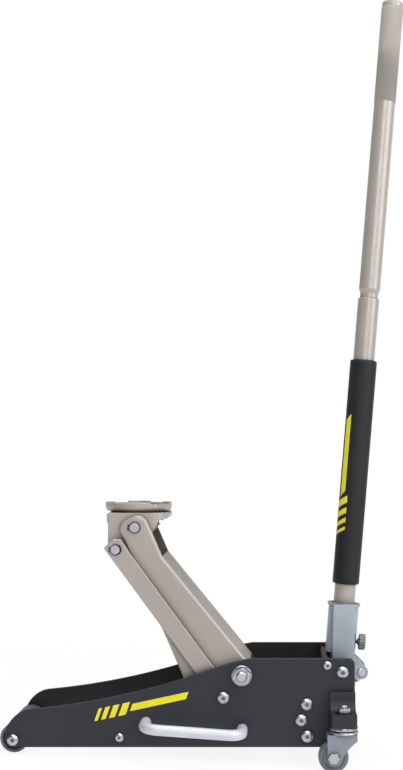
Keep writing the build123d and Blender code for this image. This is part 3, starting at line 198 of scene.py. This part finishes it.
# --- materials -------------------------------------------------------------------------------------------
class Paint:
    """A Principled material with short calls for the procedural detail."""

    def __init__(self, name):
        self.data = bpy.data.materials.new(name)
        self.data.use_nodes = True
        self.tree = self.data.node_tree
        self.tree.nodes.clear()
        self.output = self.add("ShaderNodeOutputMaterial")
        self.shader = self.add("ShaderNodeBsdfPrincipled")
        self.link(self.shader.outputs[0], self.output.inputs[0])
        self.coords = self.add("ShaderNodeTexCoord").outputs["Object"]
        self.normal = None

    def add(self, kind, **settings):
        node = self.tree.nodes.new(kind)
        for key, value in settings.items():
            setattr(node, key, value)
        return node

    def link(self, source, target):
        self.tree.links.new(source, target)

    def set(self, **values):
        for key, value in values.items():
            self.shader.inputs[key.replace("_", " ")].default_value = value

    def base(self, colour):
        self.shader.inputs["Base Color"].default_value = (*colour, 1)

    def stretched(self, scale):
        """Coordinates stretched along the object's own axes."""
        mapping = self.add("ShaderNodeMapping")
        self.link(self.coords, mapping.inputs["Vector"])
        mapping.inputs["Scale"].default_value = scale
        return mapping.outputs[0]

    def noise(self, scale, detail=4.0, rough=0.55, vector=None, low=0.35, high=0.65):
        """Noise spread to 0..1 between two of its own levels."""
        node = self.add("ShaderNodeTexNoise")
        node.inputs["Scale"].default_value = scale
        node.inputs["Detail"].default_value = detail
        node.inputs["Roughness"].default_value = rough
        self.link(vector or self.coords, node.inputs["Vector"])
        return self.spread(node.outputs["Fac"], low, high, 0.0, 1.0)

    def spread(self, value, low, high, to_low, to_high):
        node = self.add("ShaderNodeMapRange")
        self.link(value, node.inputs["Value"])
        for key, number in (("From Min", low), ("From Max", high), ("To Min", to_low), ("To Max", to_high)):
            node.inputs[key].default_value = number
        return node.outputs["Result"]

    def math(self, operation, a, b):
        node = self.add("ShaderNodeMath", operation=operation)
        for socket, value in zip(node.inputs, (a, b)):
            if isinstance(value, (int, float)):
                socket.default_value = value
            else:
                self.link(value, socket)
        return node.outputs[0]

    def mix(self, factor, a, b):
        node = self.add("ShaderNodeMix", data_type="RGBA")
        if isinstance(factor, (int, float)):
            node.inputs["Factor"].default_value = factor
        else:
            self.link(factor, node.inputs["Factor"])
        for socket, value in ((node.inputs[6], a), (node.inputs[7], b)):
            if isinstance(value, tuple):
                socket.default_value = (*value, 1)
            else:
                self.link(value, socket)
        return node.outputs[2]

    def colour(self, value):
        self.link(value, self.shader.inputs["Base Color"])

    def rough(self, value, low, high):
        self.link(self.spread(value, 0, 1, low, high), self.shader.inputs["Roughness"])

    def bump(self, height, strength, distance):
        node = self.add("ShaderNodeBump")
        node.inputs["Strength"].default_value = strength
        node.inputs["Distance"].default_value = distance
        self.link(height, node.inputs["Height"])
        if self.normal:
            self.link(self.normal, node.inputs["Normal"])
        self.normal = node.outputs[0]
        self.link(self.normal, self.shader.inputs["Normal"])

    def hollows(self, reach, samples=8):
        """How enclosed a point is, 0 in the open and 1 deep in a corner; the materials darken by it as painted
        shade.
        """
        node = self.add("ShaderNodeAmbientOcclusion", samples=samples)
        node.inputs["Distance"].default_value = reach
        return self.spread(node.outputs["AO"], 0.35, 0.95, 1.0, 0.0)

    def inner_faces(self, limit):
        """1 on faces that look across the jack and lie within the limit from its middle plane."""
        place = self.add("ShaderNodeSeparateXYZ")
        self.link(self.coords, place.inputs[0])
        facing = self.add("ShaderNodeSeparateXYZ")
        self.link(self.add("ShaderNodeNewGeometry").outputs["Normal"], facing.inputs[0])
        within = self.math("LESS_THAN", self.math("ABSOLUTE", place.outputs["Y"], 0.0), limit)
        across = self.math("GREATER_THAN", self.math("ABSOLUTE", facing.outputs["Y"], 0.0), 0.7)
        return self.math("MULTIPLY", within, across)

    def outside(self, centre, radius):
        """1 further than the radius from a line across the jack through the centre."""
        shift = self.add("ShaderNodeVectorMath", operation="SUBTRACT")
        self.link(self.coords, shift.inputs[0])
        shift.inputs[1].default_value = centre
        flat = self.add("ShaderNodeVectorMath", operation="MULTIPLY")
        self.link(shift.outputs[0], flat.inputs[0])
        flat.inputs[1].default_value = (1, 0, 1)
        length = self.add("ShaderNodeVectorMath", operation="LENGTH")
        self.link(flat.outputs[0], length.inputs[0])
        return self.math("GREATER_THAN", length.outputs["Value"], radius)

    def shade(self, colour, factor, amount, dark):
        """Mix towards a dark colour by a share of a factor."""
        return self.mix(self.math("MULTIPLY", factor, amount), colour, dark)

    def soft_edges(self, radius=0.0006):
        """Round the look of sharp edges; returns how much of an edge a point is."""
        bevel = self.add("ShaderNodeBevel", samples=6)
        bevel.inputs["Radius"].default_value = radius
        self.normal = bevel.outputs[0]
        self.link(self.normal, self.shader.inputs["Normal"])
        geometry = self.add("ShaderNodeNewGeometry")
        dot = self.add("ShaderNodeVectorMath", operation="DOT_PRODUCT")
        self.link(bevel.outputs[0], dot.inputs[0])
        self.link(geometry.outputs["Normal"], dot.inputs[1])
        return self.spread(dot.outputs["Value"], 0.985, 0.80, 0.0, 1.0)


def plate_paint():
    """Charcoal powder coat: fine orange peel, faint mottling, a painted highlight along the edges, painted shade
    on the inner faces and in hollows.
    """
    p = Paint("plate_paint")
    edge = p.soft_edges(0.0008)
    mottle = p.noise(9, 5, 0.6)
    grain = p.noise(900, 3, 0.6)
    body = p.mix(mottle, (0.017, 0.0186, 0.025), (0.022, 0.0245, 0.033))
    body = p.mix(p.math("MULTIPLY", grain, 0.2), body, (0.045, 0.047, 0.056))
    scuff = p.noise(30, 8, 0.75, p.stretched((1, 1, 7)), 0.64, 0.74)
    body = p.mix(p.math("MULTIPLY", scuff, 0.05), body, (0.12, 0.12, 0.13))
    # Painted highlight: the edges are lightened towards a pale brown, broken up by noise, for the light they
    # catch.
    painted_edge_highlight = p.math("MULTIPLY", edge, p.noise(60, 4, 0.7, None, 0.3, 0.7))
    body = p.mix(p.math("MULTIPLY", painted_edge_highlight, 0.45), body, (0.21, 0.185, 0.16))
    # Painted shade: the plates' inner faces, between the parts, are darkened.
    body = p.shade(body, p.inner_faces(HALF_GAP), 0.75, (0.008, 0.008, 0.009))
    # Painted shade: corners and creases are darkened by how enclosed they are.
    body = p.shade(body, p.hollows(0.018), 0.7, (0.006, 0.006, 0.007))
    p.colour(body)
    p.rough(p.math("ADD", p.math("MULTIPLY", mottle, 0.5), p.math("MULTIPLY", grain, 0.5)), 0.40, 0.58)
    p.set(Metallic=0.0, Specular_IOR_Level=0.34)
    p.bump(grain, 0.2, 0.0001)
    return p.data


def champagne_paint(name="champagne_paint", matte=False, inside=None, gloss=(0.34, 0.42)):
    """Metallic champagne lacquer: tiny flakes, slow colour drift, a painted highlight where edges round, painted
    shade in hollows and, with inside given, on the inner faces.
    """
    p = Paint(name)
    edge = p.soft_edges(0.0011)
    drift = p.noise(5, 3, 0.5)
    flake = p.noise(1600, 2, 0.7, None, 0.42, 0.62)
    body = p.mix(drift, (0.370, 0.334, 0.304), (0.404, 0.367, 0.335))
    body = p.mix(p.math("MULTIPLY", flake, 0.10), body, (0.56, 0.53, 0.49))
    # Painted highlight: the edges are lightened towards a pale champagne.
    body = p.mix(p.math("MULTIPLY", edge, 0.55), body, (0.66, 0.62, 0.57))
    # Painted shade: with inside given, the inner faces of the arm's channel are darkened to a dark olive.
    if inside:
        body = p.shade(body, p.inner_faces(inside), 0.85, (0.030, 0.027, 0.018))
    # Painted shade: corners and creases are darkened by how enclosed they are.
    body = p.shade(body, p.hollows(0.014), 0.72, (0.060, 0.048, 0.038))
    p.colour(body)
    if matte:
        p.rough(drift, 0.58, 0.70)
        p.set(Metallic=0.10)
        p.bump(p.noise(1300, 2, 0.6), 0.35, 0.0001)
    else:
        p.rough(p.noise(40, 4, 0.55), *gloss)
        p.set(Metallic=0.28, Coat_Weight=0.15, Coat_Roughness=0.22)
        p.bump(flake, 0.05, 0.00005)
    return p.data


def dimmed(factor, colour):
    return tuple(factor * c for c in colour)


def grey_casting(name="grey_casting", dim=1.0):
    """Cool grey satin coat over slightly rough castings and bent steel, with a painted highlight on the edges and
    painted shade in hollows.
    """
    p = Paint(name)
    edge = p.soft_edges(0.0009)
    cloud = p.noise(22, 5, 0.6)
    pit = p.noise(420, 4, 0.65)
    body = p.mix(cloud, dimmed(dim, (0.235, 0.262, 0.302)), dimmed(dim, (0.275, 0.302, 0.345)))
    # Painted highlight: the edges are lightened towards a pale grey.
    body = p.mix(p.math("MULTIPLY", edge, 0.45), body, dimmed(dim, (0.55, 0.58, 0.63)))
    # Painted shade: corners and creases are darkened by how enclosed they are.
    body = p.shade(body, p.hollows(0.016), 0.75, (0.030, 0.032, 0.038))
    p.colour(body)
    p.rough(pit, 0.32, 0.44)
    p.set(Metallic=0.45)
    p.bump(pit, 0.12, 0.0001)
    return p.data


def block_paint():
    """Black-painted iron: coarse sand-cast skin, with painted shade in hollows."""
    p = Paint("block_paint")
    p.soft_edges(0.0015)
    skin = p.noise(260, 6, 0.7)
    lump = p.noise(40, 4, 0.6)
    body = p.mix(lump, (0.028, 0.029, 0.032), (0.055, 0.056, 0.06))
    # Painted shade: corners and creases are darkened by how enclosed they are.
    body = p.shade(body, p.hollows(0.02), 0.6, (0.006, 0.006, 0.006))
    p.colour(body)
    p.rough(skin, 0.45, 0.7)
    p.set(Metallic=0.25)
    p.bump(skin, 0.6, 0.0004)
    return p.data


def metal(name, dark, light, rough, scale, grain, strength=0.2, edge_highlight_gain=0.3, clip=None,
          metallic=1.0):
    """Bare or plated steel with fine marks, a painted highlight on the edges and painted shade in hollows; grain
    stretches the marks along one direction.

    clip is a pin's centre and radius: what lies outside that radius is a blackened clip."""
    p = Paint(name)
    edge = p.soft_edges(0.0004)
    marks = p.noise(scale, 5, 0.65, grain(p))
    cloud = p.noise(35, 3, 0.5)
    body = p.mix(marks, dark, light)
    body = p.mix(p.math("MULTIPLY", cloud, 0.12), body, dimmed(0.7, dark))
    # Painted highlight: the edges are lightened beyond the light colour.
    body = p.mix(p.math("MULTIPLY", edge, edge_highlight_gain), body, tuple(min(1, c) for c in dimmed(1.2, light)))
    # Painted shade: corners and creases are darkened by how enclosed they are.
    body = p.shade(body, p.hollows(0.006), 0.8, dimmed(0.10, dark))
    if clip:
        body = p.shade(body, p.outside(*clip), 1.0, (0.03, 0.03, 0.034))
    p.colour(body)
    p.rough(marks, *rough)
    p.set(Metallic=metallic)
    p.bump(marks, strength, 0.00005)
    return p.data


def even(scale):
    return lambda p: p.stretched((scale, scale, scale))


def along_grain(x, y, z):
    return lambda p: p.stretched((x, y, z))


def foam_rubber():
    """Closed-cell foam: matt near-black with open pores and rubbed patches."""
    p = Paint("foam_rubber")
    pores = p.add("ShaderNodeTexVoronoi")
    pores.inputs["Scale"].default_value = 900
    p.link(p.coords, pores.inputs["Vector"])
    cell = p.spread(pores.outputs["Distance"], 0.1, 0.6, 0.0, 1.0)
    rub = p.noise(16, 5, 0.65)
    body = p.mix(rub, (0.005, 0.0053, 0.0065), (0.010, 0.0106, 0.0125))
    body = p.mix(p.math("MULTIPLY", cell, 0.25), body, (0.017, 0.018, 0.021))
    p.colour(body)
    p.rough(rub, 0.46, 0.58)
    p.set(Specular_IOR_Level=0.32)
    p.bump(cell, 0.5, 0.0003)
    return p.data


def plain_rubber(name, low, high):
    p = Paint(name)
    p.soft_edges(0.0005)
    dust = p.noise(120, 5, 0.65)
    p.colour(p.mix(dust, low, high))
    p.rough(dust, 0.5, 0.75)
    p.bump(dust, 0.25, 0.0001)
    return p.data


def wheel_grey():
    """Grey coated wheel with turning marks, a dusty tread and a painted highlight on its edges."""
    p = Paint("wheel_grey")
    edge = p.soft_edges(0.0008)
    cloud = p.noise(45, 5, 0.6)
    body = p.mix(cloud, (0.125, 0.133, 0.156), (0.160, 0.170, 0.197))
    # Painted highlight: the edges are lightened towards a pale grey.
    body = p.mix(p.math("MULTIPLY", edge, 0.4), body, (0.30, 0.31, 0.35))
    p.colour(body)
    p.rough(cloud, 0.36, 0.52)
    p.set(Metallic=0.3)
    p.bump(p.noise(500, 4, 0.6), 0.15, 0.0001)
    return p.data


def signal_yellow():
    """Printed yellow stripes."""
    p = Paint("signal_yellow")
    ink = p.noise(80, 4, 0.6)
    p.colour(p.mix(ink, (0.74, 0.66, 0.006), (0.82, 0.74, 0.010)))
    p.rough(ink, 0.42, 0.55)
    p.bump(p.noise(900, 3, 0.6), 0.1, 0.00005)
    return p.data


def make_materials():
    return {
        "plate_paint": plate_paint(),
        "champagne_paint": champagne_paint(),
        "arm_paint": champagne_paint("arm_paint", inside=ARM_INSIDE),
        "grip_paint": champagne_paint("grip_paint", matte=True),
        "grey_casting": grey_casting(),
        # The front roller's copy of the grey casting is darker: partly the roller's own darker grey, partly
        # painted shade.
        "roller_grey_painted_shade": grey_casting("roller_grey_painted_shade", dim=0.6),
        # The socket's copy of the grey casting is brighter, as painted light on its front faces.
        "socket_grey_painted_light": grey_casting("socket_grey_painted_light", dim=1.42),
        "tube_paint": champagne_paint("tube_paint", gloss=(0.36, 0.44)),
        "block_paint": block_paint(),
        "zinc": metal("zinc", (0.42, 0.43, 0.46), (0.60, 0.61, 0.64), (0.26, 0.36), 90, even(1)),
        "dull_zinc": metal("dull_zinc", (0.16, 0.165, 0.18), (0.25, 0.255, 0.27), (0.36, 0.48), 90, even(1)),
        "dark_steel": metal("dark_steel", (0.03, 0.03, 0.034), (0.08, 0.08, 0.086), (0.34, 0.5), 120,
                            even(1)),
        "tie_steel": metal("tie_steel", (0.12, 0.10, 0.085), (0.22, 0.19, 0.165), (0.30, 0.44), 60,
                           along_grain(1, 0.15, 1)),
        "brushed_bar": metal("brushed_bar", (0.58, 0.59, 0.64), (0.70, 0.71, 0.77), (0.46, 0.58), 240,
                             along_grain(0.05, 1, 1), metallic=0.35),
        "bright_steel": metal("bright_steel", (0.50, 0.51, 0.54), (0.64, 0.65, 0.68), (0.26, 0.38), 160,
                              along_grain(1, 0.2, 1)),
        "pin_and_clips": metal("pin_and_clips", (0.50, 0.51, 0.54), (0.64, 0.65, 0.68), (0.26, 0.38), 160,
                               along_grain(1, 0.2, 1), clip=(LINK_PIN, LINK_PIN_R)),
        "bronze": metal("bronze", (0.30, 0.19, 0.09), (0.48, 0.33, 0.17), (0.28, 0.42), 90, even(1)),
        "spring_steel": metal("spring_steel", (0.12, 0.12, 0.125), (0.26, 0.26, 0.27), (0.25, 0.4), 200,
                              even(1)),
        "foam_rubber": foam_rubber(),
        "seal_rubber": plain_rubber("seal_rubber", (0.018, 0.018, 0.02), (0.04, 0.04, 0.042)),
        "cap_plastic": plain_rubber("cap_plastic", (0.025, 0.025, 0.027), (0.05, 0.05, 0.053)),
        "wheel_grey": wheel_grey(),
        "signal_yellow": signal_yellow(),
    }


HALF_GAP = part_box("side_plate_right")[0].y + 0.0004
ARM_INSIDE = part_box("lift_arm")[1].y - 0.0048
LINK_PIN = tuple((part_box("link_head_pin")[0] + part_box("link_head_pin")[1]) / 2)
LINK_PIN_R = 0.00704        # just past the pin's own radius
MATERIALS = make_materials()


# Nodes that differ a little from the finish of their slot; the front roller's darker copy of the grey casting is
# partly painted shade, and the socket's brighter copy is painted light.
OWN_MATERIAL = {"lift_arm": "arm_paint", "thumb_screw": "dull_zinc", "front_roller": "roller_grey_painted_shade",
                "handle_socket": "socket_grey_painted_light", "handle_cap": "grip_paint",
                "lower_handle_tube": "tube_paint", "upper_handle_tube": "tube_paint",
                "link_head_pin": "pin_and_clips"}


def dress_cad_nodes():
    """Give every CAD node the procedural material of its record slot, or its own."""
    for part in frame["record"]["subparts"]:
        node = NODES[part["node"]]
        node.data.materials.clear()
        name = OWN_MATERIAL.get(part["node"], part["material_slot"])
        node.data.materials.append(MATERIALS[name])


# --- mesh helpers ----------------------------------------------------------------------------------------
def piece(name, verts, faces, material, body, slot, smooth=True):
    mesh = bpy.data.meshes.new(name)
    mesh.from_pydata([tuple(v) for v in verts], [], faces)
    mesh.validate()
    made = bpy.data.objects.new(name, mesh)
    bpy.context.scene.collection.objects.link(made)
    bm = bmesh.new()
    bm.from_mesh(mesh)
    bmesh.ops.recalc_face_normals(bm, faces=bm.faces)
    bm.to_mesh(mesh)
    bm.free()
    for face in mesh.polygons:
        face.use_smooth = smooth
    mesh.materials.append(MATERIALS[material])
    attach(made, body)
    return made


def tube_mesh(points, radius, sides=10):
    """Closed round tube that follows a list of points."""
    verts, faces = [], []
    tangent = (points[1] - points[0]).normalized()
    side = tangent.orthogonal().normalized()
    for i, point in enumerate(points):
        ahead = points[min(i + 1, len(points) - 1)]
        behind = points[max(i - 1, 0)]
        turn = (ahead - behind).normalized()
        side = (side - turn * side.dot(turn)).normalized()
        other = turn.cross(side)
        for k in range(sides):
            a = 2 * math.pi * k / sides
            verts.append(point + (side * math.cos(a) + other * math.sin(a)) * radius)
    for i in range(len(points) - 1):
        for k in range(sides):
            n = (k + 1) % sides
            faces.append((i * sides + k, i * sides + n, (i + 1) * sides + n, (i + 1) * sides + k))
    faces.append(tuple(range(sides - 1, -1, -1)))
    last = (len(points) - 1) * sides
    faces.append(tuple(last + k for k in range(sides)))
    return verts, faces


def lathe(profile, origin, axis, side, steps=96):
    """Surface of revolution of a closed profile of (radius, height) points in metres."""
    other = axis.cross(side)
    verts, faces = [], []
    count = len(profile)
    for k in range(steps):
        a = 2 * math.pi * k / steps
        out = side * math.cos(a) + other * math.sin(a)
        for r, h in profile:
            verts.append(origin + axis * h + out * r)
    for k in range(steps):
        n = (k + 1) % steps
        for i in range(count):
            j = (i + 1) % count
            faces.append((k * count + i, n * count + i, n * count + j, k * count + j))
    return verts, faces


# --- springs ---------------------------------------------------------------------------------------------
def helix(start, direction, length, radius, wire, turns, closed_turns=1.5, steps=22):
    """Centre line of a coil spring with closed end turns."""
    side = direction.orthogonal().normalized()
    other = direction.cross(side)
    total = int(turns * steps)
    points = []
    for i in range(total + 1):
        turn = i / steps
        low = min(turn, closed_turns)
        high = max(turn - (turns - closed_turns), 0)
        middle = turn - low - high
        free = turns - 2 * closed_turns
        pitch = (length - 2 * wire - 2 * closed_turns * 2.1 * wire) / free
        along = wire + (low + high) * 2.1 * wire + middle * pitch
        a = 2 * math.pi * turn
        points.append(start + direction * along + (side * math.cos(a) + other * math.sin(a)) * radius)
    return points


# Return springs run from the crosshead to the block; chassis frame, millimetres.
CROSS_BACK, BLOCK_FRONT = 313.7, 416.0
RETURN_SPRING_Y, RAM_Z = 37.0, 42.0
PUMP_SPRING_L, PLUNGER_Y = 33.0, 14.0


def make_springs():
    """Real coils in place of the spring tubes."""
    slide = Vector(JOINT["ram_slide"]["axis"]).normalized()
    reach = (BLOCK_FRONT - CROSS_BACK) * MM
    for name, sign in (("left", -1), ("right", 1)):
        start = at(CROSS_BACK, sign * RETURN_SPRING_Y, RAM_Z)
        line = helix(start, slide, reach, 5.3 * MM, 0.9 * MM, 13)
        made = piece(f"return_spring_{name}", *tube_mesh(line, 0.9 * MM), "spring_steel", "chassis",
                     "spring_steel")
        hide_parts("return_springs")
        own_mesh(made)
    push = Vector(JOINT["plunger_slide"]["axis"]).normalized()
    low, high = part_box("pump_springs")
    middle = (low + high) / 2
    length = PUMP_SPRING_L * MM
    for name, sign in (("left", -1), ("right", 1)):
        centre = Vector((middle.x, sign * PLUNGER_Y * MM, middle.z))
        start = centre - push * (length / 2)
        line = helix(start, push, length, 6.9 * MM, 0.75 * MM, 5.5, closed_turns=0.8)
        made = piece(f"pump_spring_{name}", *tube_mesh(line, 0.75 * MM), "spring_steel", "chassis",
                     "spring_steel")
        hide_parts("pump_springs")
        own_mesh(made)


# --- casters ---------------------------------------------------------------------------------------------
CASTER_AXIS = {side: Vector(JOINT[f"caster_swivel_{side}"]["pos_m"]) for side in ("left", "right")}
DISC_TOP = 32.3             # upper face of the fork's race disc, chassis frame
DISC_T = 5.0
DISC_R = 20.6
SHELF_TOP = 57.0


def at_height(point, z):
    """The point of a swivel axis at a chassis height."""
    rise = z - ((point - FRONT_AXLE).dot(UP) / MM + FRONT_AXLE_Z)
    return point + UP * (rise * MM)


def make_swivel_rings():
    """Plated skirt round each fork's race disc, and a washer under each kingpin nut, made dark as painted shade
    under the nut.
    """
    skirt = [(DISC_R - 1.4, 0.55), (DISC_R + 0.35, 0.7), (DISC_R + 0.75, 1.6), (DISC_R + 0.75, 2.7),
             (DISC_R + 0.3, 3.7), (DISC_R - 1.4, 3.9)]
    # The washer under each kingpin nut is dark steel, as painted shade under the nut.
    washer = [(8.2, 0.02), (12.6, 0.02), (12.6, 0.9), (12.0, 1.3), (8.2, 1.3)]
    for side, axis in CASTER_AXIS.items():
        for name, profile, z, material, body, slot in (
                ("race_skirt", skirt, DISC_TOP - DISC_T, "zinc", f"caster_{side}", "zinc"),
                ("nut_washer_painted_shade", washer, SHELF_TOP, "dark_steel", "chassis", "dark_steel")):
            metres = [(r * MM, h * MM) for r, h in profile]
            piece(f"{name}_{side}", *lathe(metres, at_height(axis, z), UP, RIGHT), material, body, slot)


# --- handle ----------------------------------------------------------------------------------------------
SLEEVE = (124.9, 475.6, 41.8)       # from, to, diameter
TUBE_D = 33.0
GRIP_R = 16.7
GRIP_RIB = 0.24
GRIP = (881.0, 1029.5)


def make_sleeve():
    """Foam sleeve with soft shoulders and a slightly uneven skin."""
    bottom, top, d = (v * MM for v in SLEEVE)
    bore = TUBE_D / 2 * MM
    r = d / 2
    rings = [(bore, bottom), (r - 3.0 * MM, bottom), (r - 1.2 * MM, bottom + 0.4 * MM),
             (r, bottom + 2.2 * MM)]
    count = 70
    for i in range(1, count):
        h = bottom + 2.2 * MM + (top - bottom - 4.4 * MM) * i / count
        rings.append((r - 0.12 * MM * (0.5 + 0.5 * math.sin(i * 1.7) * math.sin(i * 0.61)), h))
    rings += [(r, top - 2.2 * MM), (r - 1.2 * MM, top - 0.4 * MM), (r - 3.0 * MM, top), (bore, top)]
    made = piece("foam_sleeve", *lathe(rings, SOCKET_PIVOT, HANDLE_UP, HANDLE_SIDE), "foam_rubber", "handle",
                 "foam_rubber")
    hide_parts("handle_sleeve")


def make_grip():
    """Textured coat at the top of the handle: crossed fine ribs on a thin skin."""
    starts, samples = 30, 8
    steps = starts * samples
    bottom, top = GRIP
    row = 0.5
    rows = round((top - bottom) / row)
    twist = row / GRIP_R
    verts, faces = [], []
    for i in range(rows + 1):
        ends = min(1, i / 4, (rows - i) / 4)
        for k in range(steps):
            a = 2 * math.pi * k / steps
            left = math.cos(starts * (a + i * twist))
            right = math.cos(starts * (a - i * twist))
            lift = max(left, right, 0) ** 2 * GRIP_RIB * ends
            verts.append(along_handle(bottom + i * row, GRIP_R + 0.02 + lift, math.degrees(a)))
    for i in range(rows):
        for k in range(steps):
            n = (k + 1) % steps
            faces.append((i * steps + k, i * steps + n, (i + 1) * steps + n, (i + 1) * steps + k))
    inner = len(verts)
    for t in (bottom, bottom + rows * row):
        for k in range(steps):
            verts.append(along_handle(t, GRIP_R + 0.005, 360 * k / steps))
    last = rows * steps
    for k in range(steps):
        n = (k + 1) % steps
        faces.append((inner + k, inner + n, n, k))
        faces.append((last + k, last + n, inner + steps + n, inner + steps + k))
        faces.append((inner + steps + k, inner + steps + n, inner + n, inner + k))
    piece("handle_grip_texture", verts, faces, "grip_paint", "handle", "champagne_paint")


# --- printed stripes -------------------------------------------------------------------------------------
STRIPE_T = 0.12
STRIPE_SLOPE = 0.215        # rise of the row of bars along the plate


def plate_stripes(side):
    """Plain slanted bars on a side plate, in a row that follows the plate's rising edge."""
    verts, faces = [], []
    outer = side * (PLATE_OUT / MM)
    skin = side * STRIPE_T
    first, foot, gap = 122.0, 39.0, 5.0
    x = first
    for width, low, high in ((5, 0, 19), (7, 0, 19), (9, 0, 19), (11, 0, 19), (84, 4, 15)):
        base = foot + (x - first) * STRIPE_SLOPE
        rise = width * STRIPE_SLOPE
        lean = 0.35
        corners = [(x + low * lean, base + low), (x + width + low * lean, base + rise + low),
                   (x + width + high * lean, base + rise + high), (x + high * lean, base + high)]
        start = len(verts)
        for depth in (0.0, skin):
            verts += [at(cx, outer + depth, cz) for cx, cz in corners]
        faces += [tuple(start + k for k in order) for order in
                  ((3, 2, 1, 0), (4, 5, 6, 7), (0, 1, 5, 4), (1, 2, 6, 5), (2, 3, 7, 6), (3, 0, 4, 7))]
        x += width + gap
    name = "left" if side < 0 else "right"
    piece(f"plate_stripes_{name}", verts, faces, "signal_yellow", "chassis", "foam_rubber", smooth=False)


SLEEVE_STRIPE_AT = 216.0    # direction from the handle axis


def sleeve_stripes():
    """Slanted bars wrapped round the sleeve, on the side that shows them in profile."""
    r = SLEEVE[2] / 2 + 0.02
    verts, faces = [], []
    t = 205.0
    for length in (5, 7, 9, 11, 120):
        half_angle = 27 if length < 50 else 14
        columns = 14
        start = len(verts)
        for depth in (0.0, STRIPE_T):
            for k in range(columns + 1):
                u = k / columns
                a = SLEEVE_STRIPE_AT + (u - 0.5) * 2 * half_angle
                shift = (u - 0.5) * 10
                verts.append(along_handle(t + shift, r + depth, a))
                verts.append(along_handle(t + shift + length, r + depth, a))
        layer = 2 * (columns + 1)
        for k in range(columns):
            a, b, c, d = start + 2 * k, start + 2 * k + 1, start + 2 * k + 3, start + 2 * k + 2
            faces.append((a, b, c, d))
            faces.append((a + layer, d + layer, c + layer, b + layer))
            faces.append((a, d, d + layer, a + layer))
            faces.append((b, b + layer, c + layer, c))
        for k in (0, columns):
            a, b = start + 2 * k, start + 2 * k + 1
            faces.append((a, a + layer, b + layer, b))
        t += length + 7.0
    piece("sleeve_stripes", verts, faces, "signal_yellow", "handle", "foam_rubber", smooth=False)


make_camera()
make_world()
make_lights()
make_floor()
dress_cad_nodes()
make_springs()
make_swivel_rings()
make_sleeve()
make_grip()
for plate_side in (-1, 1):
    plate_stripes(plate_side)
sleeve_stripes()
